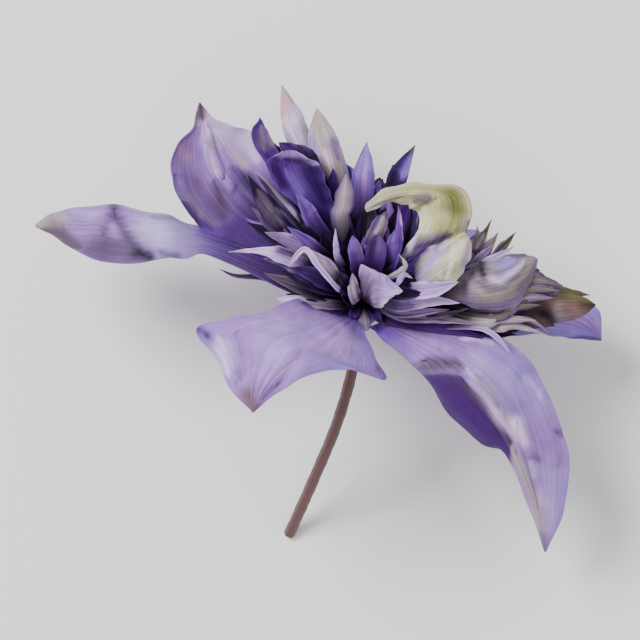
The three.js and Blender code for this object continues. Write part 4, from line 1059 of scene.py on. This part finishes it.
def outer_wash(petal, s, t, paint, underside):
    """Colour of an outer petal's upper face or underside at each s and t."""
    ground = paint[petal.get("ground", "lavender")]
    # painted shade: darker with the shade colour towards the claw, and a little towards the margins
    colour = mix(ground, paint["shade"], 0.12 + 0.5 * smooth(0.3, 0.0, s) + 0.12 * smooth(0.7, 1, np.abs(t)))
    if "throat" in petal:
        throat, start, full, share = petal["throat"]
        colour = mix(colour, paint[throat], share * smooth(start, full, s))
    bar_share = 0.8 if underside else petal.get("bar", 0.35)
    bar = np.exp(-((t / 0.2) ** 2)) * smooth(0.02, 0.2, s) * smooth(1.02, 0.6, s)
    return mix(colour, paint["oat"], bar_share * bar)


def crooked(points):
    """Places seen from above, moved about a little, so that a painted line is never quite straight."""
    x, y = points[:, 0], points[:, 1]
    return points[:, :2] + 0.3 * np.column_stack([np.sin(0.6 * y + 0.3 * x), np.sin(0.5 * x - 0.4 * y + 2)])


def daubed(colour, petal, t, points, paint):
    """Adds the petal's daubs, which break up along its veins."""
    veined = 1 + 0.1 * np.sin(29 * t + petal["seed"]) + 0.1 * np.sin(53 * t + 2 * petal["seed"])
    for *line, radius, name, share in petal.get("daubs", ()):
        near = nearness(crooked(points), line, 1.15 * radius)
        colour = mix(colour, paint[name], np.clip(share * veined, 0, 1) * near)
    return colour


def folded_under(colour, petal, points, paint):
    """The deep violet crescent left of the fold of the hanging petal, below a line seen from above."""
    line_x, line_y = np.array(petal["folded_under"]).T
    x, y = crooked(points).T
    below = np.interp(x, line_x, line_y) - y
    ends = smooth(12.6, 13.6, points[:, 0]) * smooth(34.2, 33, points[:, 0])
    inside = smooth(-0.6, 0.5, below) * ends
    # the crescent: partly the petal's deeper colour, partly painted shade
    deep = mix(paint["deep_violet"], paint["violet"], 0.3 + 0.2 * smooth(20, 14, x))
    # painted shade in dusk, darkest just below the fold line and further down the petal
    deep = mix(deep, paint["dusk"], 0.8 * smooth(4, 0.5, below) * smooth(17, 24, x))
    return mix(colour, deep, inside)


# ---- Petal meshes -------------------------------------------------------------------------------


def deselect_all():
    """Leaves edit mode, with nothing selected."""
    if bpy.context.object and bpy.context.object.mode != "OBJECT":
        bpy.ops.object.mode_set(mode="OBJECT")
    bpy.ops.object.select_all(action="DESELECT")


def half_width_of(petal):
    """Half the width of a petal at its widest, in millimetres."""
    if "half_width" in petal:
        return petal["half_width"]
    s = np.linspace(0.2, 0.8, 7)
    widths = along_curve(petal["right"], s)[0] - along_curve(petal["left"], s)[0]
    return float(np.linalg.norm(widths, axis=1).max()) / 2


def start_grid(name, columns, rows):
    """A grid of that many faces, and the x and y, -1 to 1, of its corners."""
    deselect_all()
    bpy.ops.mesh.primitive_grid_add(x_subdivisions=columns, y_subdivisions=rows, size=2)
    sheet = bpy.context.object
    sheet.name = name
    flat = np.zeros(len(sheet.data.vertices) * 3)
    sheet.data.vertices.foreach_get("co", flat)
    return sheet, flat[0::3], flat[1::3]


def lay_out(mesh, points):
    """Puts a mesh's corners at places in millimetres from the middle of the receptacle."""
    mesh.vertices.foreach_set("co", ((points + MIDDLE) * MM).ravel())


def store(mesh, name, kind, values):
    """Keeps a number, vector or colour for each corner, which the materials read by its name."""
    field = {"FLOAT": "value", "FLOAT_VECTOR": "vector", "FLOAT_COLOR": "color"}[kind]
    mesh.attributes.new(name, kind, "POINT").data.foreach_set(field, np.ravel(values))


def looks_down(surface):
    """Whether a surface's own face, by its rows and columns, looks down on the whole."""
    across = surface[:, 0] - surface[:, -1]
    middle = surface.shape[1] // 2
    along = surface[-1, middle] - surface[0, middle]
    return np.cross(across, along)[:, 2].mean() < 0


def make_petal(name, petal, rows, columns, thickness, rib_depth, washes, materials):
    """A blade: a grid bent to the petal's surface, painted on both faces and given its thickness."""
    blade, x, y = start_grid(name, columns, rows)
    mesh = blade.data
    surface = petal_points(petal, rows, columns, thickness / MM, rib_depth / MM)
    # the grid's own face is the petal's: of a broad one, the side that looks up
    mirror = -1 if "middle" in petal and looks_down(surface) else 1
    i = np.rint((y + 1) / 2 * rows).astype(int)
    j = np.rint((1 - mirror * x) / 2 * columns).astype(int)
    points = surface[i, j]
    lay_out(mesh, points)
    s, t = i / rows, 2 * j / columns - 1
    for side, colours in zip(("face_wash", "back_wash"), washes(petal, s, t, points)):
        store(mesh, side, "FLOAT_COLOR", np.column_stack([colours, np.ones(len(colours))]))
    # millimetres across and along the blade, and a number of its own, for the veins and streaks
    length = np.linalg.norm(np.diff(petal_points(petal, rows, 2, 0, 0)[:, 1], axis=0), axis=1).sum()
    own = np.full(len(s), petal["seed"] * 7.3)
    store(mesh, "tissue", "FLOAT_VECTOR", np.column_stack([t * half_width_of(petal), s * length, own]))
    edge = blade.vertex_groups.new(name="edge")
    weight = 1 - 0.75 * smooth(0.7, 1.0, np.maximum(np.abs(t), s))
    for k, w in enumerate(weight):
        edge.add([k], w, "REPLACE")
    for material in materials:
        mesh.materials.append(material)
    shell = blade.modifiers.new("thickness", "SOLIDIFY")
    shell.thickness = thickness
    shell.offset = 0
    shell.vertex_group = "edge"
    shell.thickness_vertex_group = 0.2
    shell.material_offset = 1
    bpy.ops.object.modifier_apply(modifier=shell.name)
    bpy.ops.object.shade_smooth_by_angle(angle=math.radians(60))
    return blade


def join(name, parts):
    """Makes one object of several."""
    deselect_all()
    for part in parts:
        part.select_set(True)
    bpy.context.view_layer.objects.active = parts[0]
    bpy.ops.object.join()
    joined = bpy.context.object
    joined.name = name
    return joined


def hand_over(piece, nodes):
    """Sets a finished piece on the model's one body, in place of the nodes that it stands for."""
    deselect_all()
    piece.select_set(True)
    bpy.context.view_layer.objects.active = piece
    bpy.ops.object.transform_apply(location=True, rotation=True, scale=True)
    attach(piece, "root")
    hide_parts(*nodes)


# ---- Materials ----------------------------------------------------------------------------------


def add(tree, kind, inputs=None, **settings):
    """Adds a node with its settings, and sets or links each of its inputs."""
    made = tree.nodes.new(kind)
    for key, value in settings.items():
        setattr(made, key, value)
    for key, value in (inputs or {}).items():
        if isinstance(value, bpy.types.NodeSocket):
            tree.links.new(value, made.inputs[key])
        else:
            made.inputs[key].default_value = value
    return made


def new_material(name):
    """An empty material and its node tree."""
    material = bpy.data.materials.new(name)
    material.use_nodes = True
    tree = material.node_tree
    tree.nodes.clear()
    return material, tree


def finish_material(tree, inputs):
    """Ends a tree with the shader, its inputs set or linked, and the output."""
    shader = add(tree, "ShaderNodeBsdfPrincipled", inputs)
    add(tree, "ShaderNodeOutputMaterial", {"Surface": shader.outputs["BSDF"]})


def spread(tree, source, low, high):
    """The middle of a noise, 0.3 to 0.7, spread from low to high."""
    return add(tree, "ShaderNodeMapRange", {
        "Value": source, "From Min": 0.3, "From Max": 0.7, "To Min": low, "To Max": high,
    }).outputs["Result"]


def petal_material(name, wash_name, vein_spacing, vein_share, streak, roughness):
    """Petal tissue: cells that give a soft satin, and fine veins that fan from the claw to the tip."""
    material, tree = new_material(name)
    wash = add(tree, "ShaderNodeAttribute", attribute_name=wash_name)
    tissue = add(tree, "ShaderNodeAttribute", attribute_name="tissue").outputs["Vector"]
    on_object = add(tree, "ShaderNodeTexCoord").outputs["Object"]
    # streaks drawn out along the petal, each about 1 mm wide and 12 mm long
    stretched = add(tree, "ShaderNodeMapping", {
        "Vector": tissue, "Scale": (1.0, 0.08, 1.0),
    }).outputs["Vector"]
    streaks = add(tree, "ShaderNodeTexNoise", {
        "Vector": stretched, "Scale": 1.0, "Detail": 3.0,
    }).outputs["Fac"]
    # veins vein_spacing millimetres apart, bent a little by the streaks
    across = add(tree, "ShaderNodeSeparateXYZ", {"Vector": tissue})
    bent = add(tree, "ShaderNodeMath", {
        0: streaks, 1: 1.2, 2: across.outputs["X"],
    }, operation="MULTIPLY_ADD")
    turns = add(tree, "ShaderNodeMath", {
        0: bent.outputs[0], 1: 2 * math.pi / vein_spacing,
    }, operation="MULTIPLY")
    lines = add(tree, "ShaderNodeMath", {0: turns.outputs[0]}, operation="SINE")
    veins = add(tree, "ShaderNodeMapRange", {
        "Value": lines.outputs[0], "From Min": 0.3, "From Max": 1.0,
    }).outputs["Result"]
    # blotches about 4 mm across, and grain about 0.4 mm across
    blotch = add(tree, "ShaderNodeTexNoise", {
        "Vector": on_object, "Scale": 240.0, "Detail": 3.0,
    }).outputs["Fac"]
    grain = add(tree, "ShaderNodeTexNoise", {
        "Vector": on_object, "Scale": 2400.0, "Detail": 2.0,
    }).outputs["Fac"]
    value = spread(tree, blotch, 0.88, 1.1)
    for factor in (
        spread(tree, grain, 0.93, 1.07),
        spread(tree, streaks, 1 - streak, 1 + 0.85 * streak),
        add(tree, "ShaderNodeMapRange", {
            "Value": veins, "To Min": 1.0, "To Max": 1 - vein_share,
        }).outputs["Result"],
    ):
        value = add(tree, "ShaderNodeMath", {0: value, 1: factor}, operation="MULTIPLY").outputs[0]
    colour = add(tree, "ShaderNodeVectorMath", {
        0: wash.outputs["Color"], "Scale": value,
    }, operation="SCALE")
    # some streaks bluer and some pinker than the rest
    drift = add(tree, "ShaderNodeTexNoise", {"Vector": stretched, "Scale": 0.45, "Detail": 1.0})
    shifted = add(tree, "ShaderNodeHueSaturation", {
        "Hue": spread(tree, drift.outputs["Fac"], 0.5 - 0.08 * streak, 0.5 + 0.08 * streak),
        "Color": colour.outputs["Vector"],
    })
    height = add(tree, "ShaderNodeMath", {0: veins, 1: -0.6, 2: grain}, operation="MULTIPLY_ADD")
    bump = add(tree, "ShaderNodeBump", {
        "Height": height.outputs[0], "Strength": 0.5, "Distance": 0.15 * MM,
    })
    finish_material(tree, {
        "Base Color": shifted.outputs["Color"],
        "Roughness": roughness,
        "IOR": 1.4,
        "Specular IOR Level": 0.2,
        "Subsurface Weight": 0.08,
        "Subsurface Radius": (1.0, 0.7, 1.2),
        "Subsurface Scale": 0.6 * MM,
        "Normal": bump.outputs["Normal"],
    })
    return material


def stalk_material(skin, young_shaded_skin):
    """Herbaceous stalk skin, turning woody: purple brown, streaked along its length, faintly glossy."""
    material, tree = new_material("clematis stalk skin")
    place_on = add(tree, "ShaderNodeTexCoord")
    # streaks about 0.3 mm wide and 6 mm long, by the skin's own map
    stretched = add(tree, "ShaderNodeMapping", {
        "Vector": place_on.outputs["UV"], "Scale": (9.0, 3.0, 1.0),
    })
    streaks = add(tree, "ShaderNodeTexNoise", {
        "Vector": stretched.outputs["Vector"], "Scale": 3.0, "Detail": 4.0,
    }).outputs["Fac"]
    # darker just under the bloom: younger skin and painted shade
    young_and_shaded = add(tree, "ShaderNodeAttribute", attribute_name="young_and_shaded")
    dark = [c * 0.5 for c in skin]
    bright = [min(1, c * 1.6) for c in skin]
    body = add(tree, "ShaderNodeMix", {
        "Factor": streaks, "A": (*dark, 1), "B": (*bright, 1),
    }, data_type="RGBA")
    colour = add(tree, "ShaderNodeMix", {
        "Factor": young_and_shaded.outputs["Fac"], "A": body.outputs["Result"], "B": (*young_shaded_skin, 1),
    }, data_type="RGBA")
    bump = add(tree, "ShaderNodeBump", {"Height": streaks, "Strength": 0.5, "Distance": 0.2 * MM})
    finish_material(tree, {
        "Base Color": colour.outputs["Result"],
        "Roughness": 0.48,
        "IOR": 1.45,
        "Normal": bump.outputs["Normal"],
    })
    return material


def pith_material(pith):
    """The wet cut end: pale pith with darker tubes about 0.2 mm apart."""
    material, tree = new_material("clematis stalk pith")
    place_on = add(tree, "ShaderNodeTexCoord")
    pores = add(tree, "ShaderNodeTexVoronoi", {"Vector": place_on.outputs["Object"], "Scale": 4500.0})
    dark = (*[c * 0.45 for c in pith], 1)
    colour = add(tree, "ShaderNodeMix", {
        "Factor": pores.outputs["Distance"], "A": dark, "B": (*pith, 1),
    }, data_type="RGBA")
    finish_material(tree, {"Base Color": colour.outputs["Result"], "Roughness": 0.35, "IOR": 1.4})
    return material


def paper_material(colour):
    """Matt white background paper, with fibres about 0.8 mm across."""
    material, tree = new_material("matt background paper")
    place_on = add(tree, "ShaderNodeTexCoord")
    fibres = add(tree, "ShaderNodeTexNoise", {
        "Vector": place_on.outputs["Object"], "Scale": 1200.0, "Detail": 3.0,
    })
    bump = add(tree, "ShaderNodeBump", {
        "Height": fibres.outputs["Fac"], "Strength": 0.05, "Distance": 0.1 * MM,
    })
    finish_material(tree, {
        "Base Color": (*colour, 1), "Roughness": 0.9, "Normal": bump.outputs["Normal"],
    })
    return material


# ---- Stalk --------------------------------------------------------------------------------------

STALK_PATH = [(0, 0, 0), (-1.6, -12, -5.5), (-5.2, -25, -14), (-10.5, -38, -25), (-16, -50.5, -37.34)]


def stalk_radius(distance):
    """Radius at a distance in millimetres below the receptacle's widest ring."""
    along = [-place for _, place in reversed(RECEPTACLE_PROFILE)]
    radius = [r for r, _ in reversed(RECEPTACLE_PROFILE)]
    return np.interp(distance, along, radius, right=STALK_RADIUS)


def stalk_points(x, y, ribs):
    """Points of the skin. x runs -1 to 1 round the stalk, and y -1 to 1 from its top to its cut end."""
    head = 0.12  # share of the rows above the receptacle's widest ring
    angle = (x + 1) * np.pi
    share = (y + 1) / 2
    top = RECEPTACLE_PROFILE[-1][1]
    length = np.linalg.norm(np.diff(along_curve(STALK_PATH, np.linspace(0, 1, 200))[0], axis=0), axis=1).sum()
    path_share = np.clip((share - head) / (1 - head), 0, 1)
    centre, along = along_curve(STALK_PATH, path_share)
    distance = np.where(share < head, -top * (1 - share / head), path_share * length)
    centre = np.where((share < head)[:, None], AXIS * -distance[:, None], centre)
    ease = smooth(0, 6, distance)[:, None]
    along = unit(along * ease - AXIS * (1 - ease))
    side = unit(np.cross(along, UP))
    other = np.cross(side, along)
    rib = 1 + 0.06 * np.cos(ribs * angle) * smooth(3, 8, distance)
    knots = 1 + 0.03 * np.sin(0.9 * distance) + 0.02 * np.sin(2.3 * distance + 1)
    radius = stalk_radius(distance) * rib * knots
    points = centre + side * (radius * np.cos(angle))[:, None] + other * (radius * np.sin(angle))[:, None]
    points[:, 2] = np.maximum(points[:, 2], -RECEPTACLE_HEIGHT)
    return points, distance


class CLEMATIS_OT_stalk(bpy.types.Operator):
    """Make the stalk with the swollen receptacle at its top"""

    bl_idname = "clematis.stalk"
    bl_label = "Stalk"

    def execute(self, context):
        settings = context.scene.clematis_stalk
        stalk, x, y = start_grid("stalk_fine", 48, 160)
        points, distance = stalk_points(x, y, settings.ribs)
        lay_out(stalk.data, points)
        # darker for 9 mm under the bloom: younger skin and painted shade under the head
        store(stalk.data, "young_and_shaded", "FLOAT", 0.7 * smooth(9, 0, distance))
        stalk.data.materials.append(stalk_material(settings.skin, settings.young_shaded_skin))
        stalk.data.materials.append(pith_material(settings.pith))
        # close the seam along the skin, then the two ends
        bpy.ops.object.mode_set(mode="EDIT")
        bpy.ops.mesh.select_all(action="SELECT")
        bpy.ops.mesh.remove_doubles(threshold=1e-6)
        bpy.ops.mesh.select_all(action="DESELECT")
        bpy.ops.mesh.select_non_manifold()
        stalk.active_material_index = 1
        bpy.ops.mesh.edge_face_add()
        bpy.ops.object.material_slot_assign()
        bpy.ops.mesh.select_all(action="SELECT")
        bpy.ops.mesh.normals_make_consistent(inside=False)
        bpy.ops.object.mode_set(mode="OBJECT")
        bpy.ops.object.shade_smooth_by_angle(angle=math.radians(50))
        hand_over(stalk, ["stalk"])
        return {"FINISHED"}


# ---- Making the petals --------------------------------------------------------------------------


def setting_names(settings):
    """The names of a group's own settings."""
    return [name for name in settings.bl_rna.properties.keys() if name not in ("rna_type", "name")]


def palette(scene):
    """The petals' colours by name."""
    settings = scene.clematis_paint
    return {name: np.array(getattr(settings, name)) for name in setting_names(settings)}


class CLEMATIS_OT_outer_petals(bpy.types.Operator):
    """Make the broad outer petals"""

    bl_idname = "clematis.outer_petals"
    bl_label = "Outer petals"

    def execute(self, context):
        sizes = context.scene.clematis_petals
        paint = palette(context.scene)
        materials = [
            petal_material(
                "outer petal, upper face", "face_wash", vein_spacing=1.0, vein_share=0.06, streak=0.11,
                roughness=0.55,
            ),
            petal_material(
                "outer petal, underside", "back_wash", vein_spacing=1.0, vein_share=0.14, streak=0.15,
                roughness=0.6,
            ),
        ]

        def washes(petal, s, t, points):
            face = outer_wash(petal, s, t, paint, False)
            if "folded_under" in petal:
                face = folded_under(face, petal, points, paint)
            return daubed(face, petal, t, points, paint), outer_wash(petal, s, t, paint, True)

        for index, petal in enumerate(OUTER):
            petal = {"frill": 0.3, "dents": 0.5, **petal, "seed": 3.7 * index + 1}
            rows, columns = (200, 90) if "middle" in petal else (120, 50)
            piece = make_petal(
                f"outer_petal_{index + 1}_fine", petal, rows, columns, sizes.outer_thickness,
                sizes.outer_ribs, washes, materials,
            )
            hand_over(piece, [f"outer_petal_{index + 1}"])
        return {"FINISHED"}


class CLEMATIS_OT_inner_petals(bpy.types.Operator):
    """Make the dense head of narrow inner petals"""

    bl_idname = "clematis.inner_petals"
    bl_label = "Inner petals"

    def execute(self, context):
        sizes = context.scene.clematis_petals
        paint = palette(context.scene)
        materials = [
            petal_material(
                "inner petal, upper face", "face_wash", vein_spacing=0.8, vein_share=0.14, streak=0.18,
                roughness=0.55,
            ),
            petal_material(
                "inner petal, underside", "back_wash", vein_spacing=0.8, vein_share=0.2, streak=0.18,
                roughness=0.6,
            ),
        ]

        def washes(petal, s, t, points):
            dark_to = petal.get("dark_to", 0.5)
            sides = [look_wash(petal[side], dark_to, s, t, paint) for side in ("face", "back")]
            return [daubed(side, petal, t, points, paint) for side in sides]

        parts = []
        seen = BROAD_INNER + SHOWN
        for index, petal in enumerate(seen + ring_petals()):
            petal = {"frill": 0.2, "dents": 0.15, **petal, "seed": 2.9 * index + 0.5}
            # the whole head is one piece, so its petals share out just under 200,000 triangles
            rows, columns = (70, 36) if "middle" in petal else (28, 10) if index < len(seen) else (18, 8)
            parts.append(make_petal(
                f"inner_petal_{index + 1}", petal, rows, columns, sizes.inner_thickness,
                sizes.inner_ribs, washes, materials,
            ))
        deselect_all()
        bpy.ops.mesh.primitive_uv_sphere_add(
            segments=32, ring_count=20, radius=CORE_RADIUS * MM, location=Vector((CORE + MIDDLE) * MM)
        )
        heart = context.object
        # the dome is painted night, as the shade deep in the head
        for side in ("face_wash", "back_wash"):
            store(heart.data, side, "FLOAT_COLOR", np.tile([*paint["night"], 1.0], len(heart.data.vertices)))
        heart.data.materials.append(materials[0])
        bpy.ops.object.shade_smooth()
        parts.append(heart)
        hand_over(join("inner_petals_fine", parts), ["inner_petals"])
        return {"FINISHED"}


# ---- Stage and panel ----------------------------------------------------------------------------
# Lengths of the stage in metres. The light's place is from the middle of the flower.

FLOOR_SIZE = 6.0
KEY_PLACE = (-0.62, 0.58, 1.2)
KEY_SIZE = 0.6
CAMERA_HEIGHT = 2.0
SENSOR_WIDTH = 36.0  # millimetres, as the focal length


class CLEMATIS_OT_stage(bpy.types.Operator):
    """Make the floor, the lights and the camera"""

    bl_idname = "clematis.stage"
    bl_label = "Stage"

    def execute(self, context):
        stage = context.scene.clematis_stage
        low, high = CAD_BOX
        middle = (low + high) / 2
        deselect_all()
        bpy.ops.mesh.primitive_plane_add(size=FLOOR_SIZE, location=(middle.x, middle.y, 0))
        floor = context.object
        floor.name = "paper_floor"
        floor.data.materials.append(paper_material(stage.floor))
        bpy.ops.object.light_add(type="AREA", location=middle + Vector(KEY_PLACE))
        key = context.object
        key.data.shape = "DISK"
        key.data.size = KEY_SIZE
        key.data.energy = stage.key_power
        key.rotation_euler = (middle - key.location).to_track_quat("-Z", "Y").to_euler()
        world = bpy.data.worlds.new("even sky")
        world.use_nodes = True
        sky = world.node_tree.nodes["Background"]
        sky.inputs["Color"].default_value = (1, 1, 1, 1)
        sky.inputs["Strength"].default_value = stage.sky_strength
        context.scene.world = world
        bpy.ops.object.camera_add(location=(middle.x, middle.y, CAMERA_HEIGHT), rotation=(0, 0, 0))
        camera = context.object
        camera.data.sensor_width = SENSOR_WIDTH
        camera.data.lens = SENSOR_WIDTH * (CAMERA_HEIGHT - RECEPTACLE_HEIGHT * MM) / stage.frame_width
        camera.data.clip_end = 10 * CAMERA_HEIGHT
        context.scene.camera = camera
        return {"FINISHED"}


class CLEMATIS_PT_panel(bpy.types.Panel):
    """Lists the flower's settings and the buttons that build it"""

    bl_idname = "CLEMATIS_PT_panel"
    bl_label = "Clematis flower"
    bl_space_type = "VIEW_3D"
    bl_region_type = "UI"
    bl_category = "Clematis"

    def draw(self, context):
        for group in SETTINGS:
            settings = getattr(context.scene, group)
            box = self.layout.box()
            for name in setting_names(settings):
                box.prop(settings, name)
        for maker in MAKERS:
            self.layout.operator(maker.bl_idname)


SETTINGS = {
    "clematis_petals": ClematisPetalSettings,
    "clematis_paint": ClematisPaintSettings,
    "clematis_stalk": ClematisStalkSettings,
    "clematis_stage": ClematisStageSettings,
}
MAKERS = (CLEMATIS_OT_stalk, CLEMATIS_OT_outer_petals, CLEMATIS_OT_inner_petals, CLEMATIS_OT_stage)
CLASSES = (*SETTINGS.values(), *MAKERS, CLEMATIS_PT_panel)


def register():
    """Adds the classes, and the settings to the scene."""
    for cls in CLASSES:
        bpy.utils.register_class(cls)
    for name, group in SETTINGS.items():
        setattr(bpy.types.Scene, name, PointerProperty(type=group))


def unregister():
    """Takes them away again."""
    for name in SETTINGS:
        delattr(bpy.types.Scene, name)
    for cls in reversed(CLASSES):
        bpy.utils.unregister_class(cls)


def main():
    """Builds the flower on its stage."""
    register()
    bpy.ops.clematis.stalk()
    bpy.ops.clematis.outer_petals()
    bpy.ops.clematis.inner_petals()
    bpy.ops.clematis.stage()


if __name__ == "__main__":
    main()
